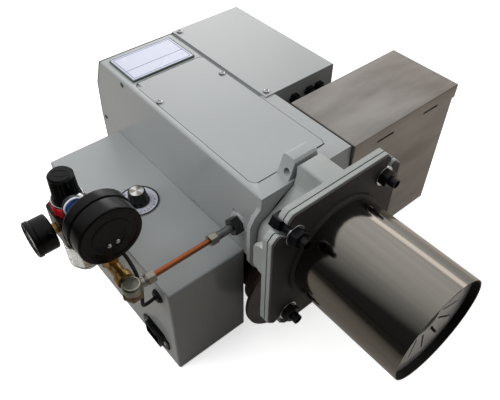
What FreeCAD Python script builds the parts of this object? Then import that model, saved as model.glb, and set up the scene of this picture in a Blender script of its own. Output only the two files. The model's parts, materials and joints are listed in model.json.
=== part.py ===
import FreeCAD, Part
import math
import os
from FreeCAD import Vector

# Waste oil burner: a square boiler flange with a stainless blast tube, and a burner body that
# swings on a top hinge and carries the control box, the day tank, the electrical cabinet, the
# fan and the atomising air and oil fittings.
# Millimetres. The origin is the centre of the flange's front face on the axis of the blast tube.
# The tube points to -Y, +Z is up, the control box is on -X and the tank on +X.

# Fits and small allowances
running_gap = 0.3
slip_gap = 0.4
pin_fit = 0.05
face_fit = 0.01
past = 1.0
bite = 0.1

# Flange stack
flange_half = 84.5
flange_corner = 23.0
flange_tip_radius = 4.0
bolt_place = 59.0
bolt_radius = 5.0
shank_radius = 4.6
slot_width = 11.5
gasket_thickness = 1.5
plate_thickness = 5.0
seal_thickness = 0.8
casting_thickness = 5.7
gasket_inset = 1.2
seal_inset = 2.5
nut_across_flats = 17.0
nut_height = 8.0
nut_turn = 15.0
bolt_head_height = 11.0
washer_radius = 11.0
washer_thickness = 1.6
bolt_end_length = 7.0

# Blast tube and firing head
tube_radius = 57.0
tube_wall = 1.5
tube_reach = 128.0
tube_step = 2.0
tube_rear_margin = 2.0
seal_ring_width = 4.0
seal_ring_length = 5.0
head_setback = 8.0
head_thickness = 2.0
head_depth = 14.0
head_cone = 4.0
head_rim_width = 12.0
head_slots = 12
head_slot_start = 4.0
head_slot_length = 20.0
head_slot_width = 3.0
head_bore = 17.0
nozzle_setback = 12.0
nozzle_radius = 9.0
nozzle_length = 22.0
nozzle_tip_radius = 3.0
nozzle_cone_length = 5.0
nozzle_shoulder = 2.0
gun_radius = 7.0
gun_tail = 96.0
holder_place = 16.0
holder_length = 8.0
holder_margin = 2.0
electrode_spread = 24.0
electrode_radius = 1.5
electrode_front = 2.0
electrode_tail = 44.0
insulator_radius = 5.0
insulator_front = 8.0
insulator_tail = 34.0

# Burner body
body_width = 124.9
body_left = -48.3
body_right = body_left + body_width
body_front = 56.0
body_length = 335.0
body_rear = body_front + body_length
body_top = 50.6
body_underside = -54.0
body_wall = 4.0
body_edge = 2.5
slope_length = 24.2
slope_start = body_rear - slope_length
slope_step = 5.5
slope_break = body_rear - slope_step
slope_break_z = 11.0
slope_end_z = -39.0
slope_wall_share = 0.6
skirt_length = 61.0
skirt_front = body_rear - skirt_length
skirt_bottom = -120.0
rear_cover_thickness = 2.5
front_opening_radius = 43.0
lip_reach = 14.2
lip_depth = 5.0
lip_outline = [(0.0, 50.6), (0.7, 37.0), (7.7, 30.6), (14.2, 18.8), (14.2, -34.4), (9.2, -45.7), (2.0, -54.0)]
lip_web_depth = 9.0
lip_web_inset = 4.0
access_left_margin = 7.3
access_left = body_left + access_left_margin
access_right_margin = 18.6
access_right = body_right - access_right_margin
access_front = 76.2
access_rear = 295.5
access_radius = 8.0
access_gap = 0.8
access_thickness = 2.0
access_ledge = 9.0
access_notch = (5.0, 9.0)
screw_head_radius = 3.8
screw_head_height = 2.2
screw_head_taper = 1.2
screw_radius = 2.0
screw_tail = 0.5
access_left_inset = 4.0
access_right_inset = 4.5
access_rows = (247.0, 248.0)
access_screws = [(access_left + access_left_inset, access_rows[0]),
                 (access_right - access_right_inset, access_rows[1])]
side_hole_radius = 2.2
side_holes = [(313.0, 43.5), (379.0, -44.0)]
side_slots = [(171.0, -47.0, 12.0, 2.6), (98.0, 1.0, 7.0, 3.2)]
transformer_size = (75.0, 90.0, 62.0)
transformer_place = (-30.0, 200.0)
transformer_radius = 6.0
post_radius = 6.0
post_height = 12.0
post_spread = 30.0
post_inset = 14.0
cell_radius = 7.0
cell_front = 72.0
cell_length = 32.0
cell_offset = 12.0
cell_z = -20.0
cell_foot_front = 84.0
cell_foot_length = 8.0

# Neck of the casting
neck_rear = 55.2
neck_wall = 6.0
neck_flare = 3.0
neck_centre_x = 10.0
neck_top = 45.0
neck_bottom = -46.0
neck_half_width = 64.0
neck_side = [(14.0, 22.4), (6.0, 19.0), (1.6, 11.5), (0.0, -9.0)]
neck_foot = 10.0
neck_foot_inset = 8.0
neck_top_half = 19.0
spider_arms = 3
spider_turn = 90.0
spider_width = 5.0
spider_start = 24.0
spider_end = 40.0
hub_wall = 4.0
lug_reach = 15.0
lug_height = 38.0
lug_width = 8.0
lug_centre_z = 23.0
lug_inset = 2.5

# Hinge between the neck and the body
hinge_y = 64.5
hinge_z = body_top + 6.9
hinge_pin_radius = 4.0
pin_length = 34.0
arm_top = hinge_z + 15.5
arm_half = 14.5
arm_foot_half = 22.0
arm_foot_z = neck_top - 9.0
arm_bend_half = 16.5
arm_bend_z = neck_top + 4.0
arm_edge = 3.0
arm_rear_edge = 4.5
block_half = 14.0
block_shoulder_half = 19.5
block_shoulder_z = body_top + 5.4
block_foot_half = 22.5
block_front = 58.4
block_depth = 17.0
block_edge = 3.5
tongue_width = 15.0
tongue_radius = 7.0
tongue_clearance = 0.6
link_rise = 1.0
link_drop = 2.0
link_overlap = 5.0

# Electrical cabinet behind the tank
cabinet_width = 96.3
cabinet_right = body_right + cabinet_width
cabinet_front = 176.7
cabinet_rear = slope_start
cabinet_bottom = -50.0
cabinet_sheet = 1.5
cabinet_bend = 2.0
cabinet_strip = 14.8
strip_screw_inset = 7.0
strip_screw_end = 7.6
gland_places = [30.4, 55.4, 71.4]
gland_radius = 6.6
gland_length = 10.0
gland_neck = 2.0
gland_z = 30.0
rail_size = (35.0, 90.0, 7.0)
rail_front = 240.0
controller_size = (60.0, 70.0, 61.0)
controller_front = 250.0
controller_inset = 2.0
controller_radius = 3.0

# Control box on the left
box_width = 99.8
box_left = body_left - box_width
box_front = 83.2
box_length = 267.9
box_rear = box_front + box_length
box_top = -49.2
box_bottom = -198.3
box_sheet = 1.5
box_bend = 2.0
cover_offset = 0.6
cover_skirt = 10.0
skirt_gap = 0.2
dial_x = box_left + 49.8
dial_y = 219.5
dial_radius = 25.0
dial_thickness = 1.2
dial_hole_radius = 3.3
stat_size = (40.0, 36.0, 34.0)
stat_radius = 3.0
stat_neck_radius = 6.0
shaft_radius = 3.0
shaft_depth = 11.0
knob_radius = 12.6
knob_height = 16.5
knob_skirt = 3.0
knob_skirt_taper = 0.6
knob_cap_radius = 9.2
mark_width = 3.0
mark_start = 11.6
mark_end = 17.0
mark_height = 2.0
socket_y = 128.0
socket_z = -171.0
socket_half = 27.0
socket_ear = 7.0
socket_waist_half = 15.0
socket_half_height = 15.0
socket_plate = 2.5
socket_rim = 7.0
socket_body = (30.0, 22.0)
socket_wall = 2.0
socket_depth = 20.0
socket_floor = 4.0
socket_pins = [(-7.0, -2.0), (0.0, 2.0), (7.0, -2.0)]
socket_pin_size = (12.0, 2.0, 4.0)
grommet_y = 106.0
grommet_z = -71.0
grommet_radius = 8.5
grommet_bore = 2.6
grommet_neck = 2.0
grommet_reach = 4.0
grommet_lip = 1.5

# Atomising air and oil train on the left
train_offset = 31.9
train_x = box_left - train_offset
train_z = -11.0
copper_y = 90.0
copper_radius = 3.0
copper_wall = 0.8
elbow_radius = 9.75
elbow_top = -3.0
elbow_height = 18.0
elbow_edge = 1.5
elbow_foot = 6.0
elbow_spigot_radius = 5.5
elbow_bite = 2.0
tube_nut_flats = 12.0
tube_nut_length = 9.0
tube_nut_turn = 10.0
tube_nut_places = (train_x + 20.0, body_left - 35.7)
stud_radius = 4.5
stud_tail = 2.0
bushing_flats = 18.0
bushing_length = 10.5
bushing_turn = 20.0
bulkhead_washer_radius = 11.5
bulkhead_washer_thickness = 1.5
tee_radius = 9.0
tee_waist_radius = 6.8
tee_start = 101.0
tee_collar = 8.0
tee_taper = 3.0
tee_end = 150.0
tee_boss_flats = 16.0
tee_boss_height = 13.0
gauge_stem_y = 130.0
gauge_stem_radius = 6.5
gauge_stem_bite = 4.0
large_gauge_offset = 2.8
large_gauge_radius = 34.0
large_gauge_back = 116.0
large_gauge_depth = 31.0
large_gauge_z = 38.8
large_gauge_back_inset = 1.2
large_gauge_back_share = 0.6
large_gauge_rim = 4.0
large_gauge_well = 8.0
small_gauge_radius = 20.5
small_gauge_back = train_x - 26.0
small_gauge_depth = 23.5
small_gauge_back_inset = 0.8
small_gauge_back_share = 0.6
small_gauge_rim = 3.0
small_gauge_well = 7.0
gauge_edge = 1.5
lens_thickness = 2.0
lens_setback = 1.5
pointer_thickness = 0.6
pointer_tail_share = 0.28
pointer_reach_share = 0.78
pointer_root = 1.3
pointer_tip = 0.4
pointer_hub_share = 0.1
pointer_rest = 135.0
spindle_share = 0.035
valve_flats = 22.0
valve_turn = 30.0
solenoid_end = 187.0
coil_front = 164.0
coil_half = 14.0
coil_bottom = train_z + 10.0
coil_top = 42.0
coil_radius = 3.0
badge_radius = 11.5
badge_place = (train_x - 7.0, 40.0)
badge_front = 161.5
coil_nut_radius = 5.5
coil_nut_place = (train_x + 3.0, 174.0)
coil_nut_height = 5.0
regulator_y = 207.0
regulator_half = 20.0
regulator_radius = 6.0
regulator_top = 8.0
regulator_bottom = -32.0
port_depth = 12.0
port_bore = 6.0
inlet_neck_radius = 6.5
ring_radius = 18.5
ring_lobe = 1.2
ring_lobes = 12
ring_height = 12.0
ring_wall = 3.0
spindle_radius = 8.7
spindle_rise = 3.0
reg_knob_radius = 14.4
reg_knob_top_radius = 13.2
reg_knob_groove = 0.9
reg_knob_ribs = 20
rib_shares = (0.0, 0.5, 0.6, 0.9)
reg_knob_height = 34.0
reg_knob_skirt = 15.3
reg_knob_skirt_start = 3.0
reg_knob_skirt_end = 5.0
reg_knob_cap = 3.0
reg_knob_cap_taper = 2.0
bowl_radius = 19.0
bowl_wall = 2.5
bowl_length = 52.0
bowl_taper_length = 10.0
bowl_taper = 6.0
bowl_hole_radius = 3.5
element_radius = 10.0
element_bore = 5.0
element_length = 26.0
drain_head_radius = 6.0
drain_head_height = 3.5
drain_stem_radius = 3.45
drain_travel = 2.6
drain_button_radius = 5.5
drain_length = 9.0
bracket_thickness = 2.5
bracket_half = 12.0
bracket_top = -25.5
bracket_drop = 54.5

# Signal cable, from the coil to the grommet
cable_radius = 2.0
arc_share = 0.45
cable_points = [(train_x + 9, coil_front, 5), (train_x + 9, 153, 5), (train_x + 14, 140, -5),
                (train_x + 16, 124, -13), (train_x + 15, 108, -22), (train_x + 12, 98, -36),
                (train_x + 9, 97, -53), (train_x + 12, 102, -68), (box_left - 4, grommet_y, grommet_z)]

# Fan and motor under the body
fan_x = -5.0
fan_z = -112.0
fan_front = 50.0
fan_rear = 76.0
fan_plate_radius = 65.0
fan_plate_thickness = 4.0
fan_radius = 48.0
fan_wall = 2.0
fan_top = body_underside - 2.0
wheel_radius = 41.0
wheel_width = 15.0
wheel_gap = 1.5
wheel_sheet = 1.5
wheel_hub_radius = 11.0
wheel_hub_length = 10.0
blade_count = 24
blade_length = 10.0
blade_thickness = 1.2
blade_angle = 35.0
blade_inset = 0.5
window_inner = 10.0
window_outer = 29.0
window_count = 4
window_sweep = 45.0
window_steps = 5
shutter_radius = 38.0
shutter_thickness = 2.0
shutter_pin_radius = 4.0
shutter_pin_rise = 1.5
shutter_tab = (10.0, 9.0)
duct_left = fan_x + 3.0
duct_right = fan_x + fan_radius
duct_front = fan_front + 8.0
motor_radius = 40.0
motor_length = 118.0
motor_hollow = 6.0
motor_shoulder = 5.0
motor_dome = 18.0
motor_end_radius = 26.0
shaft_fit_radius = 6.0
shaft_clearance = 2.0

# Day tank on the right
tank_gap = 0.4
tank_width = 180.6
tank_left = body_right + tank_gap
tank_right = tank_left + tank_width
tank_front = 52.2
tank_length = 99.8
tank_rear = tank_front + tank_length
tank_top = 50.8
tank_bottom = -138.4
tank_sheet = 1.5
tank_bend = 1.5
lid_skirt = 18.0
lid_gap = 0.4
lid_slots = [(39.0, 66.0), (119.0, 145.0)]
lid_slot_z = 35.0
lid_slot_height = 3.0
spacer_radius = 8.0
spacer_inset = 22.0
port_radius = 6.6
port_wall = 4.0
port_length = 12.0
port_inset = 40.0
port_z = -15.0
float_inset = 15.0
float_y = 102.0
float_z = -40.0
float_arm = 40.0
float_arm_half = 2.0
float_radius = 16.0
float_height = 24.0
float_dome = 6.0
float_pin_radius = 2.0
float_eye_wall = 3.0
float_eye_half = 4.0
cheek_half = 7.0
cheek_thickness = 2.0
cheek_reach = 6.0
cheek_height_half = 8.0
heater_offset = 73.0
heater_x = tank_left + heater_offset
heater_z = -115.0
heater_plug_radius = 15.0
heater_plug_length = 9.0
heater_boss_radius = 11.0
heater_boss_depth = 4.0
heater_radius = 4.0
heater_half = 7.0
heater_front_gap = 12.0
heater_rear_gap = 3.0

AXES = {"x": Vector(1, 0, 0), "y": Vector(0, 1, 0), "z": Vector(0, 0, 1)}


def box(x0, x1, y0, y1, z0, z1):
    """Block between two corners."""
    return Part.makeBox(x1 - x0, y1 - y0, z1 - z0, Vector(x0, y0, z0))


def point_on(axis, a, b, along):
    """Point from the two coordinates across an axis and the one along it."""
    return {"x": Vector(along, a, b), "y": Vector(a, along, b), "z": Vector(a, b, along)}[axis]


def rod(axis, radius, centre, start, end):
    """Round bar along an axis; centre gives the other two coordinates in order."""
    return Part.makeCylinder(radius, end - start, point_on(axis, *centre, start), AXES[axis])


def pipe(axis, outer, inner, centre, start, end):
    """Round tube along an axis."""
    return rod(axis, outer, centre, start, end).cut(rod(axis, inner, centre, start, end))


def wire_of(axis, outline, along):
    """Closed wire of a flat outline, given as pairs across an axis."""
    points = [point_on(axis, a, b, along) for a, b in outline]
    return Part.makePolygon(points + points[:1])


def prism(axis, outline, start, end):
    """Solid of a flat outline between two places on its axis."""
    return Part.Face(wire_of(axis, outline, start)).extrude(AXES[axis] * (end - start))


def around(centre, radius, count, turn=0.0):
    """Points spaced evenly round a circle."""
    a, b = centre
    angles = [math.radians(360.0 * k / count + turn) for k in range(count)]
    return [(a + radius * math.cos(t), b + radius * math.sin(t)) for t in angles]


def hexagon(axis, across_flats, centre, start, end, turn=0.0):
    """Hexagonal bar along an axis."""
    return prism(axis, around(centre, across_flats / math.sqrt(3.0), 6, turn), start, end)


def turned(axis, centre, profile):
    """Body of revolution about an axis; the profile is pairs of radius and place along it."""
    a, b = centre
    side = {"x": Vector(0, 1, 0), "y": Vector(1, 0, 0), "z": Vector(1, 0, 0)}[axis]
    points = [point_on(axis, a, b, along) + side * radius for radius, along in profile]
    face = Part.Face(Part.makePolygon(points + points[:1]))
    return face.revolve(point_on(axis, a, b, 0.0), AXES[axis], 360.0)


def rounded(shape, radius, axis, chosen=None):
    """Same solid with its straight edges along an axis rounded, or those that chosen picks."""
    edges = []
    for edge in shape.Edges:
        straight = abs(edge.tangentAt(edge.FirstParameter).dot(AXES[axis])) > 1 - face_fit
        if straight and (chosen is None or chosen(edge.CenterOfMass)):
            edges.append(edge)
    return shape.makeFillet(radius, edges)


def round_plate(x0, x1, y0, y1, z0, z1, radius):
    """Plate with rounded vertical corners."""
    return rounded(box(x0, x1, y0, y1, z0, z1), radius, "z")


def fuse(*shapes):
    """One solid from pieces that touch or overlap."""
    whole = shapes[0]
    for shape in shapes[1:]:
        whole = whole.fuse(shape)
    return whole.removeSplitter()


def save(name, *solids):
    """Write one node; separate solids stay separate."""
    shape = solids[0] if len(solids) == 1 else Part.makeCompound(list(solids))
    shape.exportStep("parts/" + name + ".step")


plate_front = gasket_thickness
seal_front = plate_front + plate_thickness
casting_front = seal_front + seal_thickness
casting_rear = casting_front + casting_thickness
tube_rear = casting_rear - tube_rear_margin
tube_seat_radius = tube_radius - tube_step
ring_front = plate_front - seal_ring_length
throat_radius = tube_seat_radius - tube_wall
bolt_centres = [(sx * bolt_place, sz * bolt_place) for sx in (-1, 1) for sz in (-1, 1)]


def corner_slots(start, end):
    """Open slots on the diagonals, from each bolt out through the cut corner."""
    cutters = []
    for x, z in bolt_centres:
        slot = box(0, flange_half, start, end, -slot_width / 2, slot_width / 2)
        slot.rotate(Vector(0, 0, 0), AXES["y"], -math.degrees(math.atan2(z, x)))
        slot.translate(Vector(x, 0, z))
        cutters.append(slot.fuse(rod("y", slot_width / 2, (x, z), start, end)))
    return cutters


def flange_layer(half, start, end):
    """Square plate with cut and rounded corners and the four corner slots."""
    inner = half - flange_corner
    outline = [(-inner, -half), (inner, -half), (half, -inner), (half, inner),
               (inner, half), (-inner, half), (-half, inner), (-half, -inner)]
    layer = prism("y", outline, start, end)
    for cutter in corner_slots(start - past, end + past):
        layer = layer.cut(cutter)
    reach = bolt_place * math.sqrt(2.0) + slot_width
    return rounded(layer, flange_tip_radius, "y", lambda p: math.hypot(p.x, p.z) > reach)


def make_flange():
    """Gasket, mounting plate and seal, which clamp the blast tube's rear end."""
    ring_bore = rod("y", tube_radius + seal_ring_width + slip_gap, (0, 0), -past, seal_front)
    tube_bore = rod("y", tube_seat_radius + slip_gap, (0, 0), 0, casting_front + past)
    gasket = flange_layer(flange_half - gasket_inset, 0, plate_front).cut(ring_bore)
    seal = flange_layer(flange_half - seal_inset, seal_front, casting_front).cut(tube_bore)
    save("flange_gaskets", gasket, seal)
    save("mounting_flange", flange_layer(flange_half, plate_front, seal_front).cut(tube_bore))


def neck_outline(grow):
    """Outline across Y of the neck, symmetric about its own middle, grown by an amount."""
    half = neck_half_width + grow
    right = [(neck_top_half, neck_top + grow)]
    right += [(half - inset, z) for inset, z in neck_side]
    right += [(half, neck_bottom - grow + neck_foot), (half - neck_foot_inset, neck_bottom - grow)]
    left = [(-a, b) for a, b in reversed(right)]
    return [(neck_centre_x + a, b) for a, b in right + left]


def neck_loft(grow_front, grow_rear, start, end):
    """Solid between a front and a rear neck outline."""
    wires = [wire_of("y", neck_outline(grow), y) for grow, y in ((grow_front, start), (grow_rear, end))]
    return Part.makeLoft(wires, True, True)


def mirrored(half_outline):
    """Outline about the neck's middle from its right half, given from the bottom up."""
    left = [(-a, b) for a, b in reversed(half_outline)]
    return [(neck_centre_x + a, b) for a, b in half_outline + left]


def make_casting():
    """Rear flange plate, hollow neck, spider, side lug and hinge arm in one casting."""
    plate = flange_layer(flange_half, casting_front, casting_rear)
    neck = neck_loft(neck_flare, 0, casting_rear, neck_rear)
    arm = prism("y", mirrored([(arm_foot_half, arm_foot_z), (arm_bend_half, arm_bend_z),
                               (arm_half, hinge_z), (arm_half, arm_top)]), casting_rear, neck_rear)
    arm = rounded(arm, arm_edge, "y", lambda p: p.z > arm_top - bite)
    slope = [(neck_rear - arm_rear_edge, arm_top + past), (neck_rear + past, arm_top + past),
             (neck_rear + past, arm_top - arm_rear_edge - past)]
    arm = arm.cut(prism("x", slope, neck_centre_x - arm_foot_half, neck_centre_x + arm_foot_half))
    tongue_left = neck_centre_x - tongue_width / 2
    tongue_right = neck_centre_x + tongue_width / 2
    tongue = rod("x", tongue_radius, (hinge_y, hinge_z), tongue_left, tongue_right)
    link = box(tongue_left, tongue_right, neck_rear - link_overlap, hinge_y,
               hinge_z - tongue_radius + link_rise, hinge_z + tongue_radius - link_drop)
    lug_left = -flange_half + lug_inset
    lug = rod("x", lug_height / 2, (casting_rear, lug_centre_z), lug_left, lug_left + lug_width)
    lug = lug.common(box(-flange_half, 0, casting_rear - bite, casting_rear + lug_reach,
                         lug_centre_z - lug_height, lug_centre_z + lug_height))
    casting = fuse(plate, neck, arm, tongue, link, lug)
    passage = neck_loft(neck_flare - neck_wall, -neck_wall, casting_rear - past, neck_rear + past)
    passage = passage.common(rod("y", throat_radius, (0, 0), 0, neck_rear + past))
    seat = rod("y", tube_seat_radius + pin_fit, (0, 0), 0, tube_rear)
    throat = rod("y", throat_radius, (0, 0), 0, casting_rear)
    casting = casting.cut(passage).cut(seat).cut(throat)
    hub = pipe("y", gun_radius + hub_wall, gun_radius + pin_fit, (0, 0), spider_start, spider_end)
    skin = neck_loft(neck_flare - past, -past, casting_rear, neck_rear)
    arms = []
    for k in range(spider_arms):
        bar = box(gun_radius + hub_wall - past, throat_radius + neck_wall, spider_start, spider_end,
                  -spider_width / 2, spider_width / 2)
        bar.rotate(Vector(0, 0, 0), AXES["y"], spider_turn + 360.0 / spider_arms * k)
        arms.append(bar.common(skin))
    casting = fuse(casting, hub, *arms)
    bore = rod("x", hinge_pin_radius + face_fit, (hinge_y, hinge_z), tongue_left - past,
               tongue_right + past)
    save("flange_casting", casting.cut(bore))
    save("hinge_pin", rod("x", hinge_pin_radius, (hinge_y, hinge_z),
                          neck_centre_x - pin_length / 2, neck_centre_x + pin_length / 2))


def make_bolts():
    """Four bolts with their heads behind the casting, and the nuts and washers in front. Where
    the thread is in a nut, both are drawn at its pitch diameter."""
    nut_front = -washer_thickness - nut_height
    bolts = []
    nuts = []
    for x, z in bolt_centres:
        head = hexagon("y", nut_across_flats, (x, z), casting_rear, casting_rear + bolt_head_height)
        shank = rod("y", shank_radius, (x, z), nut_front, casting_rear)
        end = rod("y", bolt_radius, (x, z), nut_front - bolt_end_length, nut_front)
        bolts.append(fuse(head, shank, end))
        bore = rod("y", shank_radius + face_fit, (x, z), nut_front - past, past)
        nuts.append(rod("y", washer_radius, (x, z), -washer_thickness, 0).cut(bore))
        nut = hexagon("y", nut_across_flats, (x, z), nut_front, -washer_thickness, nut_turn)
        nuts.append(nut.cut(bore))
    save("flange_bolts", *bolts)
    save("flange_nuts", *nuts)


def make_head():
    """Blast tube, its seal ring, the slotted retention head, nozzle, gun and electrodes."""
    waist = ring_front - tube_wall
    save("blast_tube", turned("y", (0, 0), [
        (tube_radius - tube_wall, -tube_reach), (tube_radius, -tube_reach), (tube_radius, ring_front),
        (tube_seat_radius, ring_front), (tube_seat_radius, tube_rear), (throat_radius, tube_rear),
        (throat_radius, waist), (tube_radius - tube_wall, waist)]))
    save("tube_seal_ring", pipe("y", tube_radius + seal_ring_width, tube_seat_radius + pin_fit,
                                (0, 0), ring_front, plate_front))
    face = -tube_reach + head_setback
    rim = tube_radius - tube_wall - pin_fit
    cup = turned("y", (0, 0), [
        (head_bore, face + head_cone), (rim - head_rim_width, face), (rim, face), (rim, face + head_depth),
        (rim - head_thickness, face + head_depth), (rim - head_thickness, face + head_thickness),
        (rim - head_rim_width, face + head_thickness), (head_bore, face + head_cone + head_thickness)])
    slot_start = head_bore + head_slot_start
    for k in range(head_slots):
        slot = box(slot_start, slot_start + head_slot_length, face - past,
                   face + head_cone + head_thickness + past, -head_slot_width / 2, head_slot_width / 2)
        slot.rotate(Vector(0, 0, 0), AXES["y"], 360.0 * k / head_slots)
        cup = cup.cut(slot)
    save("retention_head", cup)

    tip = face + nozzle_setback
    gun_front = tip + nozzle_length
    cone_end = tip + nozzle_cone_length
    save("nozzle", turned("y", (0, 0), [
        (0, tip), (nozzle_tip_radius, tip), (nozzle_radius - nozzle_shoulder, cone_end),
        (nozzle_radius, cone_end + nozzle_shoulder), (nozzle_radius, gun_front), (0, gun_front)]))
    gun = rod("y", gun_radius, (0, 0), gun_front, gun_tail)
    holder_front = gun_front + holder_place
    holder_rear = holder_front + holder_length
    holder_half = electrode_spread / 2 + insulator_radius + holder_margin
    electrode_z = gun_radius + insulator_radius + past
    holder = box(-holder_half, holder_half, holder_front, holder_rear, gun_radius - past,
                 electrode_z + insulator_radius + holder_margin)
    gun = gun.fuse(holder)
    rods = []
    insulators = []
    for side in (-1, 1):
        place = (side * electrode_spread / 2, electrode_z)
        gun = gun.cut(rod("y", insulator_radius + face_fit, place, holder_front - past, holder_rear + past))
        insulators.append(pipe("y", insulator_radius, electrode_radius + face_fit, place,
                               gun_front - insulator_front, holder_front + insulator_tail))
        rods.append(rod("y", electrode_radius, place, tip - electrode_front, holder_front + electrode_tail))
    save("nozzle_line", gun.removeSplitter())
    save("electrode_rods", *rods)
    save("electrode_insulators", *insulators)


def body_outline(inset):
    """Side outline of the body as pairs of Y and Z, set in by a wall, open below the skirt."""
    rear = body_rear - rear_cover_thickness - inset
    foot = skirt_bottom - (past if inset else 0)
    return [(body_front + inset, body_underside + inset), (body_front + inset, body_top - inset),
            (slope_start - rear_cover_thickness - inset * slope_wall_share, body_top - inset),
            (slope_break - rear_cover_thickness - inset, slope_break_z), (rear, slope_end_z), (rear, foot),
            (skirt_front + inset, foot), (skirt_front + inset, body_underside + inset)]


def hinge_block():
    """Knuckle block on the body, bored for the pin and pocketed for the casting's tongue."""
    rear = block_front + block_depth
    left = neck_centre_x - block_foot_half
    right = neck_centre_x + block_foot_half
    block = prism("y", mirrored([(block_foot_half, body_top - past), (block_foot_half, body_top),
                                 (block_shoulder_half, block_shoulder_z), (block_half, arm_top)]),
                  block_front, rear)
    slope = [(block_front - past, arm_top - block_edge), (block_front - past, arm_top + past),
             (block_front + block_edge, arm_top + past)]
    block = rounded(block, block_edge, "x", lambda p: p.z > arm_top - bite and p.y > hinge_y)
    block = block.cut(prism("x", slope, left, right))
    pocket_half = tongue_width / 2 + running_gap
    pocket_left = neck_centre_x - pocket_half
    pocket_right = neck_centre_x + pocket_half
    reach = tongue_radius + tongue_clearance
    front = box(pocket_left, pocket_right, body_front - past, hinge_y, hinge_z - reach, hinge_z + reach)
    pocket = front.fuse(rod("x", reach, (hinge_y, hinge_z), pocket_left, pocket_right))
    bore = rod("x", hinge_pin_radius + pin_fit, (hinge_y, hinge_z), left, right)
    return block, pocket, bore


strip_x = body_right - cabinet_strip + strip_screw_inset
strip_screws = [(strip_x, cabinet_rear - strip_screw_end), (strip_x, cabinet_front + strip_screw_end)]


def make_housing():
    """Hollow housing with its front wall, side lip, skirt and openings, and its roof with the hinge
    block. The roof rests on the walls, and the walls meet in planes at both ends of the fan's duct."""
    wall = body_wall
    shell = prism("x", body_outline(0), body_left, body_right)
    shell = rounded(shell, body_edge, "y", lambda p: p.z > body_top - bite)
    cavity = prism("x", body_outline(wall), body_left + wall, body_right - wall)
    lip_points = [(body_left - reach, z) for reach, z in lip_outline]
    lip_points += [(body_left + past, body_underside), (body_left + past, body_top)]
    lip = prism("y", lip_points, body_front, body_front + lip_depth)
    lip_rear = body_front + lip_depth
    web = prism("z", [(body_left + past, lip_rear), (body_left - lip_reach + lip_web_inset, lip_rear),
                      (body_left - past, lip_rear + lip_web_depth),
                      (body_left + past, lip_rear + lip_web_depth)], lip_outline[4][1], lip_outline[3][1])
    block, pocket, bore = hinge_block()
    shell = fuse(shell, lip, web).cut(cavity).fuse(block)
    shell = shell.cut(rod("y", front_opening_radius, (0, 0), body_front - past, body_front + wall + past))
    opening = round_plate(access_left + access_ledge, access_right - access_ledge,
                          access_front + access_ledge, access_rear - access_ledge,
                          body_top - wall - past, body_top + past, access_radius)
    recess = round_plate(access_left - access_gap, access_right + access_gap,
                         access_front - access_gap, access_rear + access_gap,
                         body_top - access_thickness, body_top + past, access_radius + access_gap)
    shell = shell.cut(opening).cut(recess).cut(pocket).cut(bore)
    shell = shell.cut(box(duct_left + fan_wall, duct_right - fan_wall, duct_front + fan_wall,
                          fan_rear - fan_wall, body_underside - past, body_underside + wall + past))
    for place in access_screws + strip_screws:
        shell = shell.cut(rod("z", screw_radius + pin_fit, place, body_top - wall - past, arm_top))
    side = (body_left - past, body_left + wall + past)
    for place in side_holes:
        shell = shell.cut(rod("x", side_hole_radius, place, *side))
    for y, z, length, height in side_slots:
        shell = shell.cut(box(*side, y - length / 2, y + length / 2, z - height / 2, z + height / 2))
    shell = shell.cut(rod("x", stud_radius + pin_fit, (copper_y, train_z), *side))
    shell = shell.removeSplitter()
    width = (body_left - lip_reach, body_right + past)
    height = (skirt_bottom - past, arm_top + past)
    above = box(*width, body_front - past, body_rear, body_top - wall, arm_top + past)
    front = box(*width, body_front - past, duct_front + fan_wall, *height)
    beside = box(*width, duct_front + fan_wall, fan_rear - fan_wall, *height)
    walls = shell.cut(above)
    save("burner_housing", walls.cut(front).cut(beside), shell.common(above), walls.common(front),
         *walls.common(beside).Solids)


def pan_screw(x, y, seat):
    """Pan-head screw standing on a seat."""
    top = seat + screw_head_height
    head = turned("z", (x, y), [(0, seat), (screw_head_radius, seat),
                                (screw_head_radius, seat + screw_head_height / 2),
                                (screw_head_radius - screw_head_taper, top), (0, top)])
    return head.fuse(rod("z", screw_radius, (x, y), body_top - body_wall + screw_tail, seat))


def make_covers():
    """Access cover, its screws and those of the cabinet's strip, and the folded rear cover."""
    cover = round_plate(access_left, access_right, access_front, access_rear,
                        body_top - access_thickness, body_top, access_radius)
    width, length = access_notch
    cover = cover.cut(box(access_left - past, access_left + width, access_rear - length,
                          access_rear + past, 0, arm_top))
    for place in access_screws:
        cover = cover.cut(rod("z", screw_radius + pin_fit, place, 0, arm_top))
    save("access_cover", cover)
    screws = [pan_screw(x, y, body_top) for x, y in access_screws]
    screws += [pan_screw(x, y, body_top + cabinet_sheet) for x, y in strip_screws]
    save("cover_screws", *screws)
    line = [(slope_start, body_top), (slope_break, slope_break_z), (body_rear, slope_end_z),
            (body_rear, skirt_bottom)]
    inner = [(y - rear_cover_thickness, z) for y, z in reversed(line)]
    save("rear_cover", prism("x", line + inner, body_left, body_right))


def make_inner_parts():
    """Ignition transformer with its posts, and the photocell on its foot."""
    floor = body_underside + body_wall
    width, length, height = transformer_size
    left, front = transformer_place
    block = round_plate(left, left + width, front, front + length, floor, floor + height,
                        transformer_radius)
    middle = left + width / 2
    posts = [rod("z", post_radius, (middle + side * post_spread / 2, front + length - post_inset),
                 floor + height, floor + height + post_height) for side in (-1, 1)]
    save("ignition_transformer", fuse(block, *posts))
    wall = body_right - body_wall
    cell = rod("y", cell_radius, (wall - cell_offset, cell_z), cell_front, cell_front + cell_length)
    foot = box(wall - cell_offset, wall, cell_foot_front, cell_foot_front + cell_foot_length,
               cell_z - cell_radius, cell_z + cell_radius)
    save("photocell", fuse(cell, foot))


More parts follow.
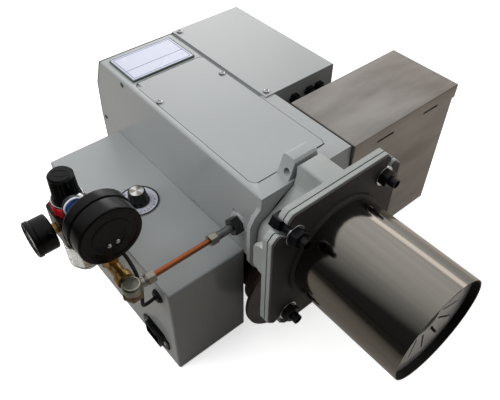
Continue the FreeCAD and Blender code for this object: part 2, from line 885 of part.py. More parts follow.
def make_cabinet():
    """Folded cover and tray, the glands in its front, and the controller on its rail."""
    t = cabinet_sheet
    left = body_right + running_gap
    tray = box(left, cabinet_right - t, cabinet_front, cabinet_rear, cabinet_bottom, body_top)
    tray = tray.cut(box(left + t, cabinet_right, cabinet_front + t, cabinet_rear - t,
                        cabinet_bottom + t, body_top + past))
    neck_size = gland_radius - gland_neck
    glands = []
    for offset in gland_places:
        place = (body_right + offset, gland_z)
        tray = tray.cut(rod("y", neck_size, place, cabinet_front - past, cabinet_front + t + past))
        neck = rod("y", neck_size - pin_fit, place, cabinet_front, cabinet_front + t + gland_neck)
        nut = hexagon("y", 2 * gland_radius, place, cabinet_front - gland_length / 2, cabinet_front)
        cap = rod("y", gland_radius - past, place, cabinet_front - gland_length,
                  cabinet_front - gland_length / 2)
        glands.append(fuse(neck, nut, cap))
    save("cabinet_base", tray)
    save("cable_glands", *glands)
    top = box(body_right - cabinet_strip, cabinet_right, cabinet_front, cabinet_rear, body_top, body_top + t)
    side = box(cabinet_right - t, cabinet_right, cabinet_front, cabinet_rear, cabinet_bottom, body_top + bite)
    cover = rounded(fuse(top, side), cabinet_bend, "y",
                    lambda p: p.x > cabinet_right - bite and p.z > body_top + t - bite)
    for place in strip_screws:
        cover = cover.cut(rod("z", screw_radius + pin_fit, place, body_top - past, body_top + t + past))
    save("cabinet_cover", cover)
    inner = left + t
    floor = cabinet_bottom + t
    width, length, height = rail_size
    rail = box(inner, inner + width, rail_front, rail_front + length, floor, floor + height)
    depth, span, rise = controller_size
    unit_left = inner + controller_inset
    unit = round_plate(unit_left, unit_left + depth, controller_front, controller_front + span,
                       floor + height, floor + height + rise, controller_radius)
    save("burner_controller", fuse(rail, unit))


def make_control_box():
    """Sheet-metal control box in two folded halves."""
    t = box_sheet
    right = body_left
    base = box(box_left, right, box_front + t, box_rear - t, box_bottom, box_top - t)
    base = base.cut(box(box_left + t, right - t, 0, box_rear + past, box_bottom + t, box_top + past))
    cover = box(box_left + cover_offset, right, box_front, box_rear, box_bottom, box_top)
    cover = rounded(cover, box_bend, "x", lambda p: p.z > box_top - bite)
    cover = cover.cut(box(box_left - past, right + past, box_front + t, box_rear - t,
                          box_bottom - past, box_top - t))
    skirt_left = box_left + t + skirt_gap
    skirt = box(skirt_left, skirt_left + t, box_front + t - bite, box_rear - t + bite,
                box_top - t - cover_skirt, box_top - t + bite)
    wall = (box_left - past, box_left + t + past)
    length, height = socket_body
    base = base.cut(box(*wall, socket_y - length / 2, socket_y + length / 2,
                        socket_z - height / 2, socket_z + height / 2))
    base = base.cut(rod("x", grommet_radius - grommet_neck, (grommet_y, grommet_z), *wall))
    save("control_box_base", base)
    dial_hole = rod("z", stat_neck_radius, (dial_x, dial_y), box_top - t - past, box_top + past)
    save("control_box_cover", fuse(cover, skirt).cut(dial_hole))


def make_thermostat():
    """Thermostat with its dial plate, and the knob with its shaft and pointer."""
    centre = (dial_x, dial_y)
    under = box_top - box_sheet
    width, length, height = stat_size
    dial = pipe("z", dial_radius, dial_hole_radius, centre, box_top, box_top + dial_thickness)
    stat = round_plate(dial_x - width / 2, dial_x + width / 2, dial_y - length / 2, dial_y + length / 2,
                       under - height, under, stat_radius)
    neck = rod("z", stat_neck_radius - pin_fit, centre, under - bite, box_top + bite)
    bore = rod("z", shaft_radius + pin_fit, centre, box_top - shaft_depth - past, box_top + past)
    save("thermostat_body", fuse(stat, neck, dial).cut(bore))
    seat = box_top + dial_thickness + running_gap
    skirt_top = seat + knob_skirt
    knob = turned("z", centre, [(0, seat), (knob_radius, seat), (knob_radius - knob_skirt_taper, skirt_top),
                                (knob_cap_radius, seat + knob_height), (0, seat + knob_height)])
    shaft = rod("z", shaft_radius, centre, box_top - shaft_depth, seat + past)
    mark = prism("z", [(dial_x - mark_width / 2, dial_y + mark_start),
                       (dial_x + mark_width / 2, dial_y + mark_start), (dial_x, dial_y + mark_end)],
                 seat, seat + mark_height)
    save("thermostat_knob", fuse(knob, shaft, mark))


def make_box_fittings():
    """Grommet of the signal cable and the mains inlet with its three pins."""
    t = box_sheet
    neck = grommet_radius - grommet_neck
    save("cable_grommet", turned("x", (grommet_y, grommet_z), [
        (grommet_bore, box_left - grommet_reach), (neck, box_left - grommet_reach),
        (grommet_radius, box_left - grommet_lip), (grommet_radius, box_left),
        (neck - pin_fit, box_left), (neck - pin_fit, box_left + t + grommet_lip),
        (grommet_bore, box_left + t + grommet_lip)]))

    ends = [(socket_half, socket_ear), (socket_waist_half, socket_half_height)]
    right = [(a, -b) for a, b in reversed(ends)] + ends
    outline = right + [(-a, b) for a, b in reversed(right)]
    plate = prism("x", [(socket_y + a, socket_z + b) for a, b in outline],
                  box_left - socket_plate, box_left)
    length, height = socket_body
    half_length = length / 2 - pin_fit
    half_height = height / 2 - pin_fit
    front = box_left - socket_rim
    body = box(front, box_left + socket_depth, socket_y - half_length, socket_y + half_length,
               socket_z - half_height, socket_z + half_height)
    floor = box_left + socket_depth - socket_floor
    well = box(front - past, floor, socket_y - half_length + socket_wall,
               socket_y + half_length - socket_wall, socket_z - half_height + socket_wall,
               socket_z + half_height - socket_wall)
    reach, width, rise = socket_pin_size
    pins = [box(floor - reach, floor + bite, socket_y + dy - width / 2, socket_y + dy + width / 2,
                socket_z + dz - rise / 2, socket_z + dz + rise / 2) for dy, dz in socket_pins]
    save("inlet_socket", fuse(fuse(plate, body).cut(well), *pins))


def make_oil_line():
    """Elbow, nuts, copper tube, stud, bushing and washer between the gauge train and the body."""
    centre = (copper_y, train_z)
    foot = elbow_top - elbow_height
    barrel = turned("z", (train_x, copper_y), [
        (0, foot), (elbow_radius, foot), (elbow_radius, elbow_top - elbow_edge),
        (elbow_radius - elbow_edge, elbow_top), (0, elbow_top)])
    hex_foot = hexagon("z", 2 * elbow_radius, (train_x, copper_y), foot, foot + elbow_foot)
    nut_left, nut_right = tube_nut_places
    half = tube_nut_length / 2
    spigot = rod("x", elbow_spigot_radius, centre, train_x + elbow_radius - elbow_bite, nut_left - half)
    outlet = rod("y", elbow_spigot_radius, (train_x, train_z), copper_y + elbow_radius - elbow_bite,
                 tee_start)
    save("elbow_fitting", fuse(barrel, hex_foot, spigot, outlet))
    nuts = []
    for x in tube_nut_places:
        nut = hexagon("x", tube_nut_flats, centre, x - half, x + half, tube_nut_turn)
        nuts.append(nut.cut(rod("x", copper_radius + face_fit, centre, x - half - past, x + half + past)))
    save("tube_nuts", *nuts)
    save("copper_tube", pipe("x", copper_radius, copper_radius - copper_wall, centre, nut_left - half,
                             nut_right + half))
    save("bulkhead_stud", rod("x", stud_radius, centre, nut_right + half, body_left + body_wall + stud_tail))
    washer_left = body_left - bulkhead_washer_thickness
    bush = hexagon("x", bushing_flats, centre, washer_left - bushing_length, washer_left, bushing_turn)
    bore = rod("x", stud_radius + face_fit, centre, washer_left - bushing_length - past, body_left)
    save("bulkhead_bushing", bush.cut(bore))
    save("bulkhead_washer", pipe("x", bulkhead_washer_radius, stud_radius + face_fit, centre,
                                 washer_left, body_left))


def gauge_parts(axis, centre, back, step, radius, depth, sizes):
    """Case, lens and pointer of a gauge. The dial faces from back in the direction of step, and
    sizes gives the back's inset and share of the depth, the rim's width and the well's depth."""
    inset, share, rim, well_depth = sizes
    front = back + step * depth
    well = front - step * well_depth
    low = radius - inset
    seam = back + step * depth * share
    case = turned(axis, centre, [
        (0, back), (low - gauge_edge, back), (low, back + step * gauge_edge), (low, seam),
        (radius, seam), (radius, front - step * gauge_edge), (radius - gauge_edge, front),
        (radius - rim, front), (radius - rim, well), (0, well)])
    lens_front = front - step * lens_setback
    lens_rear = lens_front - step * lens_thickness
    lens = rod(axis, radius - rim - face_fit, centre, min(lens_front, lens_rear),
               max(lens_front, lens_rear))
    base = well + step * lens_setback
    face = base + step * pointer_thickness
    a, b = centre
    pointer = prism(axis, [(a - pointer_root, b - radius * pointer_tail_share),
                           (a + pointer_root, b - radius * pointer_tail_share),
                           (a + pointer_tip, b + radius * pointer_reach_share - rim),
                           (a - pointer_tip, b + radius * pointer_reach_share - rim)], base, face)
    hub = rod(axis, radius * pointer_hub_share, centre, min(base, face), max(base, face))
    root = well - step * bite
    tip = face + step * pointer_thickness
    spindle = rod(axis, radius * spindle_share, centre, min(root, tip), max(root, tip))
    hole = rod(axis, radius * spindle_share + pin_fit, centre, min(root, tip), max(root, tip))
    needle = fuse(pointer, hub).cut(hole)
    needle.rotate(point_on(axis, *centre, base), AXES[axis], step * pointer_rest)
    return fuse(case, spindle), lens, needle


def make_gauges():
    """Brass tee with its boss, and both pressure gauges."""
    r = tee_radius
    waist = tee_waist_radius
    collar_end = tee_start + tee_collar
    collar_start = tee_end - tee_collar
    tee = turned("y", (train_x, train_z), [
        (0, tee_start), (r, tee_start), (r, collar_end), (waist, collar_end + tee_taper),
        (waist, collar_start - tee_taper), (r, collar_start), (r, tee_end), (0, tee_end)])
    boss_top = train_z + tee_boss_height
    boss = hexagon("z", tee_boss_flats, (train_x, gauge_stem_y), train_z, boss_top)
    save("brass_tee", fuse(tee, boss))

    centre = (train_x + large_gauge_offset, large_gauge_z)
    case, lens, pointer = gauge_parts("y", centre, large_gauge_back, 1, large_gauge_radius,
                                      large_gauge_depth, (large_gauge_back_inset, large_gauge_back_share,
                                                          large_gauge_rim, large_gauge_well))
    stem = rod("z", gauge_stem_radius, (train_x, gauge_stem_y), boss_top,
               large_gauge_z - large_gauge_radius + gauge_stem_bite)
    save("large_gauge_case", fuse(case, stem))
    save("large_gauge_lens", lens)
    save("large_pointer", pointer)

    case, lens, pointer = gauge_parts("x", (regulator_y, train_z), small_gauge_back, -1,
                                      small_gauge_radius, small_gauge_depth,
                                      (small_gauge_back_inset, small_gauge_back_share,
                                       small_gauge_rim, small_gauge_well))
    stem = rod("x", port_bore, (regulator_y, train_z), small_gauge_back - bite, train_x - regulator_half)
    save("small_gauge_case", fuse(case, stem))
    save("small_gauge_lens", lens)
    save("small_pointer", pointer)


def make_solenoid():
    """Solenoid valve: hexagonal body, coil, badge disc on the coil's front and nut on its top."""
    body = hexagon("y", valve_flats, (train_x, train_z), tee_end, solenoid_end, valve_turn)
    coil = round_plate(train_x - coil_half, train_x + coil_half, coil_front, solenoid_end,
                       coil_bottom, coil_top, coil_radius)
    badge = rod("y", badge_radius, badge_place, badge_front, coil_front + past)
    nut = rod("z", coil_nut_radius, coil_nut_place, coil_top - past, coil_top + coil_nut_height)
    save("solenoid_valve", fuse(body, coil, badge, nut))


def ribbed_outline(centre, outer, groove, ribs):
    """Outline of a ribbed knob or ring: each rib has a flat crest and the valleys lie deeper."""
    points = []
    for k in range(ribs):
        for share, radius in zip(rib_shares, (outer, outer, outer - groove, outer - groove)):
            angle = 2 * math.pi * (k + share) / ribs
            points.append((centre[0] + radius * math.cos(angle), centre[1] + radius * math.sin(angle)))
    return points


def make_regulator():
    """Filter-regulator: body, red ring, ribbed knob, clear bowl, element, drain and bracket."""
    centre = (train_x, regulator_y)
    half = regulator_half
    body = round_plate(train_x - half, train_x + half, regulator_y - half, regulator_y + half,
                       regulator_bottom, regulator_top, regulator_radius)
    ring_top = regulator_top + ring_height
    neck = rod("z", ring_radius - ring_wall, centre, regulator_top - bite, ring_top)
    spindle = rod("z", spindle_radius, centre, regulator_top, ring_top + spindle_rise)
    front = rod("y", inlet_neck_radius, (train_x, train_z), solenoid_end, regulator_y - half + bite)
    rear = regulator_y + half
    port = rod("y", port_bore, (train_x, train_z), rear - port_depth, rear + past)
    save("regulator_body", fuse(body, neck, spindle, front).cut(port))
    ring = prism("z", ribbed_outline(centre, ring_radius, ring_lobe, ring_lobes), regulator_top, ring_top)
    save("regulator_ring", ring.cut(rod("z", ring_radius - ring_wall + face_fit, centre,
                                        regulator_top - past, ring_top + past)))
    seat = ring_top + running_gap
    top = seat + reg_knob_height
    wires = [wire_of("z", ribbed_outline(centre, radius, reg_knob_groove, reg_knob_ribs), z)
             for radius, z in ((reg_knob_radius, seat), (reg_knob_top_radius, top - reg_knob_cap))]
    grip = Part.makeLoft(wires, True, True)
    cap = turned("z", centre, [(0, top - reg_knob_cap), (reg_knob_top_radius, top - reg_knob_cap),
                               (reg_knob_top_radius, top - reg_knob_cap_taper),
                               (reg_knob_top_radius - reg_knob_cap_taper, top), (0, top)])
    skirt = rod("z", reg_knob_skirt, centre, seat + reg_knob_skirt_start, seat + reg_knob_skirt_end)
    bore = rod("z", spindle_radius + running_gap, centre, seat - past, seat + spindle_rise)
    save("regulator_knob", fuse(grip, cap, skirt).cut(bore))


def make_bowl():
    """Clear bowl under the regulator, filter element, push drain and the bracket to the box."""
    centre = (train_x, regulator_y)
    top = regulator_bottom
    base = top - bowl_length
    r = bowl_radius
    w = bowl_wall
    shoulder = base + bowl_taper_length
    floor_radius = r - bowl_taper
    save("regulator_bowl", turned("z", centre, [
        (r, top), (r, shoulder), (floor_radius, base), (bowl_hole_radius, base), (bowl_hole_radius, base + w),
        (floor_radius - w / 2, base + w), (r - w, shoulder), (r - w, top)]))
    save("filter_element", pipe("z", element_radius, element_bore, centre, top - element_length, top))
    head_seat = base + w + screw_tail
    save("drain_valve", turned("z", centre, [
        (0, head_seat + drain_head_height), (drain_head_radius, head_seat + drain_head_height),
        (drain_head_radius, head_seat), (drain_stem_radius, head_seat),
        (drain_stem_radius, base - drain_travel), (drain_button_radius, base - drain_travel),
        (drain_button_radius, base - drain_length), (0, base - drain_length)]))
    t = bracket_thickness
    front = regulator_y - bracket_half
    rear = regulator_y + bracket_half
    arm = box(train_x + regulator_half, box_left, front, rear, bracket_top - t, bracket_top)
    ear = box(box_left - t, box_left, front, rear, bracket_top - bracket_drop, bracket_top)
    save("regulator_bracket", fuse(arm, ear))


def bent_tube(points, radius):
    """Round cord along straight runs joined by tangent arcs, as large as the runs allow."""
    spots = [Vector(*p) for p in points]
    edges = []
    bends = []
    start = spots[0]
    for before, corner, after in zip(spots, spots[1:], spots[2:]):
        back = (before - corner).normalize()
        ahead = (after - corner).normalize()
        reach = arc_share * min((before - corner).Length, (after - corner).Length)
        half_turn = (math.pi - back.getAngle(ahead)) / 2
        bend = reach / math.tan(half_turn)
        bends.append(bend)
        first = corner + back * reach
        last = corner + ahead * reach
        middle = (back + ahead).normalize() * (bend / math.cos(half_turn) - bend) + corner
        edges.append(Part.LineSegment(start, first).toShape())
        edges.append(Part.Arc(first, middle, last).toShape())
        start = last
    edges.append(Part.LineSegment(start, spots[-1]).toShape())
    path = Part.Wire(edges)
    ring = Part.makeCircle(radius, spots[0], spots[1] - spots[0])
    tube = path.makePipeShell([Part.Wire(ring)], True, True)
    print("cord length", round(path.Length, 1), "mm, smallest bend", round(min(bends), 1),
          "mm, volume over section times length",
          round(tube.Volume / (math.pi * radius ** 2 * path.Length), 4))
    return tube


def make_cable():
    """Signal cable from the coil of the solenoid valve to the grommet in the control box."""
    save("signal_cable", bent_tube(cable_points, cable_radius))


def window(number, start, end):
    """Sector-shaped air window about the fan's axis, the same in the housing and the shutter."""
    first = number * 360.0 / window_count
    angles = [math.radians(first + window_sweep * k / window_steps) for k in range(window_steps + 1)]
    ring = [(fan_x + window_outer * math.cos(t), fan_z + window_outer * math.sin(t)) for t in angles]
    ring += [(fan_x + window_inner * math.cos(t), fan_z + window_inner * math.sin(t))
             for t in reversed(angles)]
    return prism("y", ring, start, end)


def make_fan_housing():
    """Intake plate with its air windows, round scroll, duct up to the body, and the shutter."""
    centre = (fan_x, fan_z)
    w = fan_wall
    plate_rear = fan_front + fan_plate_thickness
    above = box(fan_x - fan_plate_radius, fan_x + fan_plate_radius, fan_front - past, fan_rear + past,
                fan_top, body_top)
    plate = rod("y", fan_plate_radius, centre, fan_front, plate_rear).cut(above)
    ring = rod("y", fan_radius, centre, plate_rear - bite, fan_rear)
    duct = box(duct_left, duct_right, duct_front, fan_rear, fan_z, body_underside)
    hollow = rod("y", fan_radius - w, centre, plate_rear + w, fan_rear - w)
    duct_hollow = box(duct_left + w, duct_right - w, duct_front + w, fan_rear - w, fan_z,
                      body_underside + past)
    scroll = ring.fuse(duct).fuse(plate).cut(hollow.fuse(duct_hollow))
    for k in range(window_count):
        scroll = scroll.cut(window(k, fan_front - past, plate_rear + w + past))
    pin = rod("y", shutter_pin_radius, centre, fan_front - shutter_thickness - shutter_pin_rise,
              fan_front + past)
    shaft_hole = rod("y", shaft_fit_radius + shaft_clearance, centre, fan_rear - w - past, fan_rear + past)
    save("fan_housing", fuse(scroll, pin).cut(shaft_hole))

    rear = fan_front - running_gap
    front = rear - shutter_thickness
    shutter = pipe("y", shutter_radius, shutter_pin_radius + pin_fit, centre, front, rear)
    for k in range(window_count):
        shutter = shutter.cut(window(k, front - past, rear + past))
    width, reach = shutter_tab
    tab = box(fan_x - width / 2, fan_x + width / 2, front, rear, fan_z - shutter_radius - reach,
              fan_z - shutter_radius + past)
    save("air_shutter", fuse(shutter, tab))


def make_fan_wheel():
    """Forward-curved wheel on the motor's shaft, and the motor behind the scroll."""
    centre = (fan_x, fan_z)
    front = fan_front + fan_plate_thickness + fan_wall + wheel_gap
    rear = front + wheel_width
    back = pipe("y", wheel_radius, shaft_fit_radius, centre, rear - wheel_sheet, rear)
    shroud = pipe("y", wheel_radius, wheel_radius - blade_length - wheel_sheet, centre, front,
                  front + wheel_sheet)
    hub = rod("y", wheel_hub_radius, centre, rear - wheel_hub_length, rear)
    blades = []
    for k in range(blade_count):
        blade = box(wheel_radius - blade_inset - blade_length, wheel_radius - blade_inset,
                    front + wheel_sheet, rear - wheel_sheet,
                    -blade_thickness / 2, blade_thickness / 2)
        blade.rotate(Vector(wheel_radius - blade_length / 2, 0, 0), AXES["y"], blade_angle)
        blade.rotate(Vector(0, 0, 0), AXES["y"], 360.0 * k / blade_count)
        blade.translate(Vector(fan_x, 0, fan_z))
        blades.append(blade.common(rod("y", wheel_radius - face_fit, centre, front, rear)))
    shaft = rod("y", shaft_fit_radius, centre, rear - wheel_hub_length,
                fan_rear + motor_hollow - running_gap)
    save("fan_wheel", fuse(back, hub, shaft), shroud, *blades)

    end = fan_rear + motor_length
    bearing = shaft_fit_radius + past
    save("motor_housing", turned("y", centre, [
        (0, fan_rear + motor_hollow), (bearing, fan_rear + motor_hollow), (bearing, fan_rear),
        (motor_radius, fan_rear), (motor_radius, end - motor_dome),
        (motor_radius - motor_shoulder, end - motor_shoulder), (motor_end_radius, end), (0, end)]))


def make_tank():
    """Sheet-metal day tank on two spacers with the float's bracket, and its oil port."""
    t = tank_sheet
    left = tank_left + t
    right = tank_right - t
    front = tank_front + t
    rear = tank_rear - t
    shell = rounded(box(left, right, front, rear, tank_bottom, tank_top - t), tank_bend, "z")
    middle = (body_underside + body_top) / 2
    for y in (front + spacer_inset, rear - spacer_inset):
        shell = shell.fuse(rod("x", spacer_radius, (y, middle), body_right, left + past))
    shell = shell.cut(box(left + t, right - t, front + t, rear - t, tank_bottom + t, tank_top + past))
    port_place = (tank_right - port_inset, port_z)
    neck_size = port_radius + port_wall / 2
    shell = shell.cut(rod("y", neck_size + pin_fit, port_place, rear - t - past, rear + past))
    port = rod("y", port_radius + port_wall, port_place, rear, rear + port_length)
    port = port.fuse(rod("y", neck_size, port_place, rear - t, rear + past))
    save("oil_port", port.cut(rod("y", port_radius, port_place, rear - t - past, rear + port_length + past)))
    shell = shell.cut(rod("y", heater_boss_radius, (heater_x, heater_z), rear - t - past, rear + past))
    pivot_x = tank_left + float_inset
    wall = left + t - bite
    low = float_z - cheek_height_half
    high = float_z + cheek_height_half
    cheek = box(wall, pivot_x + cheek_reach, float_y - cheek_half, float_y - cheek_half + cheek_thickness,
                low, high)
    other = cheek.translated(Vector(0, 2 * cheek_half - cheek_thickness, 0))
    plate = box(wall, wall + cheek_thickness, float_y - cheek_half, float_y + cheek_half, low, high)
    pin = rod("y", float_pin_radius, (pivot_x, float_z), float_y - cheek_half, float_y + cheek_half)
    save("tank_shell", shell.fuse(fuse(plate, pin, cheek, other)).removeSplitter())


def make_tank_inside():
    """Float on its arm, and the oil heater through the tank's rear wall."""
    pivot_x = tank_left + float_inset
    half = float_arm_half
    eye = rod("y", float_pin_radius + float_eye_wall, (pivot_x, float_z), float_y - float_eye_half,
              float_y + float_eye_half)
    arm = box(pivot_x, pivot_x + float_arm, float_y - half, float_y + half, float_z - half, float_z + half)
    can_x = pivot_x + float_arm + float_radius - half
    low = float_z - float_height / 2
    high = float_z + float_height / 2
    can = turned("z", (can_x, float_y), [
        (0, low), (float_radius - float_dome, low), (float_radius, low + float_dome),
        (float_radius, high - float_dome), (float_radius - float_dome, high), (0, high)])
    hole = rod("y", float_pin_radius + pin_fit, (pivot_x, float_z), float_y - cheek_half,
               float_y + cheek_half)
    save("tank_float", fuse(eye, arm, can).cut(hole))

    rear = tank_rear - tank_sheet
    inner = rear - tank_sheet
    plug = hexagon("y", 2 * heater_plug_radius, (heater_x, heater_z), rear, rear + heater_plug_length)
    boss = rod("y", heater_boss_radius - pin_fit, (heater_x, heater_z), inner - heater_boss_depth,
               rear + bite)
    legs_front = tank_front + 2 * tank_sheet + heater_front_gap
    legs = [rod("y", heater_radius, (heater_x + side * heater_half, heater_z), legs_front,
                inner - heater_rear_gap) for side in (-1, 1)]
    bend = rod("x", heater_radius, (legs_front, heater_z), heater_x - heater_half, heater_x + heater_half)
    save("tank_heater", fuse(plug, boss, bend, *legs))


def make_lid():
    """Folded lid over the tank, with the two slots in its front skirt."""
    lid = box(tank_left, tank_right, tank_front, tank_rear, tank_top - lid_skirt, tank_top)
    lid = rounded(rounded(lid, tank_bend, "z"), tank_bend, "x", lambda p: p.z > tank_top - bite)
    g = tank_sheet - lid_gap
    lid = lid.cut(box(tank_left + g, tank_right - g, tank_front + g, tank_rear - g,
                      tank_top - lid_skirt - past, tank_top - tank_sheet))
    for start, end in lid_slots:
        lid = lid.cut(box(tank_left + start, tank_left + end, tank_front - past, tank_front + g + past,
                          lid_slot_z, lid_slot_z + lid_slot_height))
    save("tank_lid", lid)


os.makedirs("parts", exist_ok=True)
make_flange()
make_casting()
make_bolts()
make_head()
make_housing()
make_covers()
make_inner_parts()
make_cabinet()
make_control_box()
make_thermostat()
make_box_fittings()
make_oil_line()
make_gauges()
make_solenoid()
make_regulator()
make_bowl()
make_cable()
make_fan_housing()
make_fan_wheel()
make_tank()
make_tank_inside()
make_lid()
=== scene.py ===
import json
import math

import bmesh
import bpy
import numpy as np
from mathutils import Matrix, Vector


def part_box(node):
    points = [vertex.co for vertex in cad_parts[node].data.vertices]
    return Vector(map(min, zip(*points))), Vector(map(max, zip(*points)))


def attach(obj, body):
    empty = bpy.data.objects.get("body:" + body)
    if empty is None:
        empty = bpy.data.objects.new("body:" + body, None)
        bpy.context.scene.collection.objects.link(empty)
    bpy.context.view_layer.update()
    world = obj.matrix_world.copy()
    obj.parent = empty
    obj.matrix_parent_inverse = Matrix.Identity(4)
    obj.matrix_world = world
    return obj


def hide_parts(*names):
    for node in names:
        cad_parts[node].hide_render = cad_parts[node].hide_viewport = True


bl_info = {
    "name": "Waste Oil Burner",
    "version": (1, 0, 0),
    "blender": (4, 5, 0),
    "location": "View3D > Sidebar > Burner",
    "description": "Finishes and small parts of a waste oil burner round its packed frame",
    "category": "Add Mesh",
}

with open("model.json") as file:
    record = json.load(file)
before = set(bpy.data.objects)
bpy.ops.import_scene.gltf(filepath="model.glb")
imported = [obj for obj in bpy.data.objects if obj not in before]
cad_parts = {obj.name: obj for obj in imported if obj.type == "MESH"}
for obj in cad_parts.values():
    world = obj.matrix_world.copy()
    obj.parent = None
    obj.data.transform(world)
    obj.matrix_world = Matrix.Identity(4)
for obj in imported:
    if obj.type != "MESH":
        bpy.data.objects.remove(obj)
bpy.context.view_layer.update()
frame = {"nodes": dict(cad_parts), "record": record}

MM = 0.001
FLANGE = "boiler_flange"
BODY = "burner_body"
# Two directions across each axis, and the axis itself.
AXES = {
    "x": np.array([[0, 1, 0], [0, 0, 1], [1, 0, 0]], float),
    "y": np.array([[0, 0, 1], [1, 0, 0], [0, 1, 0]], float),
    "z": np.array([[1, 0, 0], [0, 1, 0], [0, 0, 1]], float),
}
# Numbers of the other two axes.
ACROSS = {"x": (1, 2), "y": (0, 2), "z": (0, 1)}
# Angles in degrees from which a piece's edges are beveled, and a copied node's edges stay sharp.
EDGE_ANGLE = 40.0
SHARP_ANGLE = 38.0
FINISH = {}


def linear(code):
    """Scene-linear colour of an sRGB hex value: v/12.92 below 0.04045, else ((v+0.055)/1.055)^2.4."""
    v = np.array([int(code[i:i + 2], 16) for i in (1, 3, 5)]) / 255.0
    v = np.where(v <= 0.04045, v / 12.92, ((v + 0.055) / 1.055) ** 2.4)
    return (*v.tolist(), 1.0)


def add(tree, kind, inputs=None, **settings):
    """Adds a node, sets its properties, and fills or links its inputs."""
    made = tree.nodes.new(kind)
    for name, value in settings.items():
        setattr(made, name, value)
    for key, value in (inputs or {}).items():
        if isinstance(value, bpy.types.NodeSocket):
            tree.links.new(value, made.inputs[key])
        else:
            made.inputs[key].default_value = value
    return made


def empty_material(name):
    """New material and its node tree, emptied."""
    material = bpy.data.materials.new(name)
    material.use_nodes = True
    material.node_tree.nodes.clear()
    return material, material.node_tree


def surface(name, dark, light, patch, rough, metallic=0.0, coat=0.0, grain=1.0, bump=0.02,
            stretch=(1, 1, 1), speck=None, contrast=0.2, **shader_values):
    """Finish with a slow drift between two tones over patches, a roughness that drifts with it,
    and a fine bump. Sizes are millimetres; stretch draws the pattern out along an axis, contrast
    is how sharply the tones part, and speck adds rare marks of another colour."""
    material, tree = empty_material(name)
    shader = add(tree, "ShaderNodeBsdfPrincipled",
                 {"Metallic": metallic, "Coat Weight": coat, "Coat Roughness": 0.1})
    add(tree, "ShaderNodeOutputMaterial", {"Surface": shader.outputs[0]})
    place = add(tree, "ShaderNodeTexCoord").outputs["Object"]
    drawn = add(tree, "ShaderNodeMapping",
                {"Vector": place, "Scale": tuple(1.0 / s for s in stretch)}).outputs[0]
    drift = add(tree, "ShaderNodeTexNoise", {"Vector": drawn, "Scale": 1.0 / (patch * MM),
                                             "Detail": 4.0, "Roughness": 0.55}).outputs[0]
    tone = add(tree, "ShaderNodeMapRange", {"Value": drift, "From Min": 0.5 - contrast,
                                            "From Max": 0.5 + contrast}).outputs[0]
    colour = add(tree, "ShaderNodeMix", {0: tone, 6: dark, 7: light}, data_type="RGBA").outputs[2]
    if speck:
        mark, size, start = speck
        grit = add(tree, "ShaderNodeTexNoise", {"Vector": place, "Scale": 1.0 / (size * MM),
                                                "Detail": 2.0}).outputs[0]
        share = add(tree, "ShaderNodeMapRange", {"Value": grit, "From Min": start,
                                                 "From Max": start + 0.05}).outputs[0]
        colour = add(tree, "ShaderNodeMix", {0: share, 6: colour, 7: linear(mark)},
                     data_type="RGBA").outputs[2]
    tree.links.new(colour, shader.inputs["Base Color"])
    dull = add(tree, "ShaderNodeMapRange", {"Value": drift, "From Min": 0.3, "From Max": 0.7,
                                            "To Min": rough[0], "To Max": rough[1]}).outputs[0]
    tree.links.new(dull, shader.inputs["Roughness"])
    fine = add(tree, "ShaderNodeTexNoise", {"Vector": drawn, "Scale": 1.0 / (grain * MM),
                                            "Detail": 2.0}).outputs[0]
    skin = add(tree, "ShaderNodeBump", {"Height": fine, "Strength": 1.0, "Distance": bump * MM})
    tree.links.new(skin.outputs[0], shader.inputs["Normal"])
    for key, value in shader_values.items():
        shader.inputs[key.replace("_", " ")].default_value = value
    return material


def shade(colour, share):
    """A colour made lighter or darker by a share."""
    return (*[min(1.0, c * share) for c in colour[:3]], 1.0)


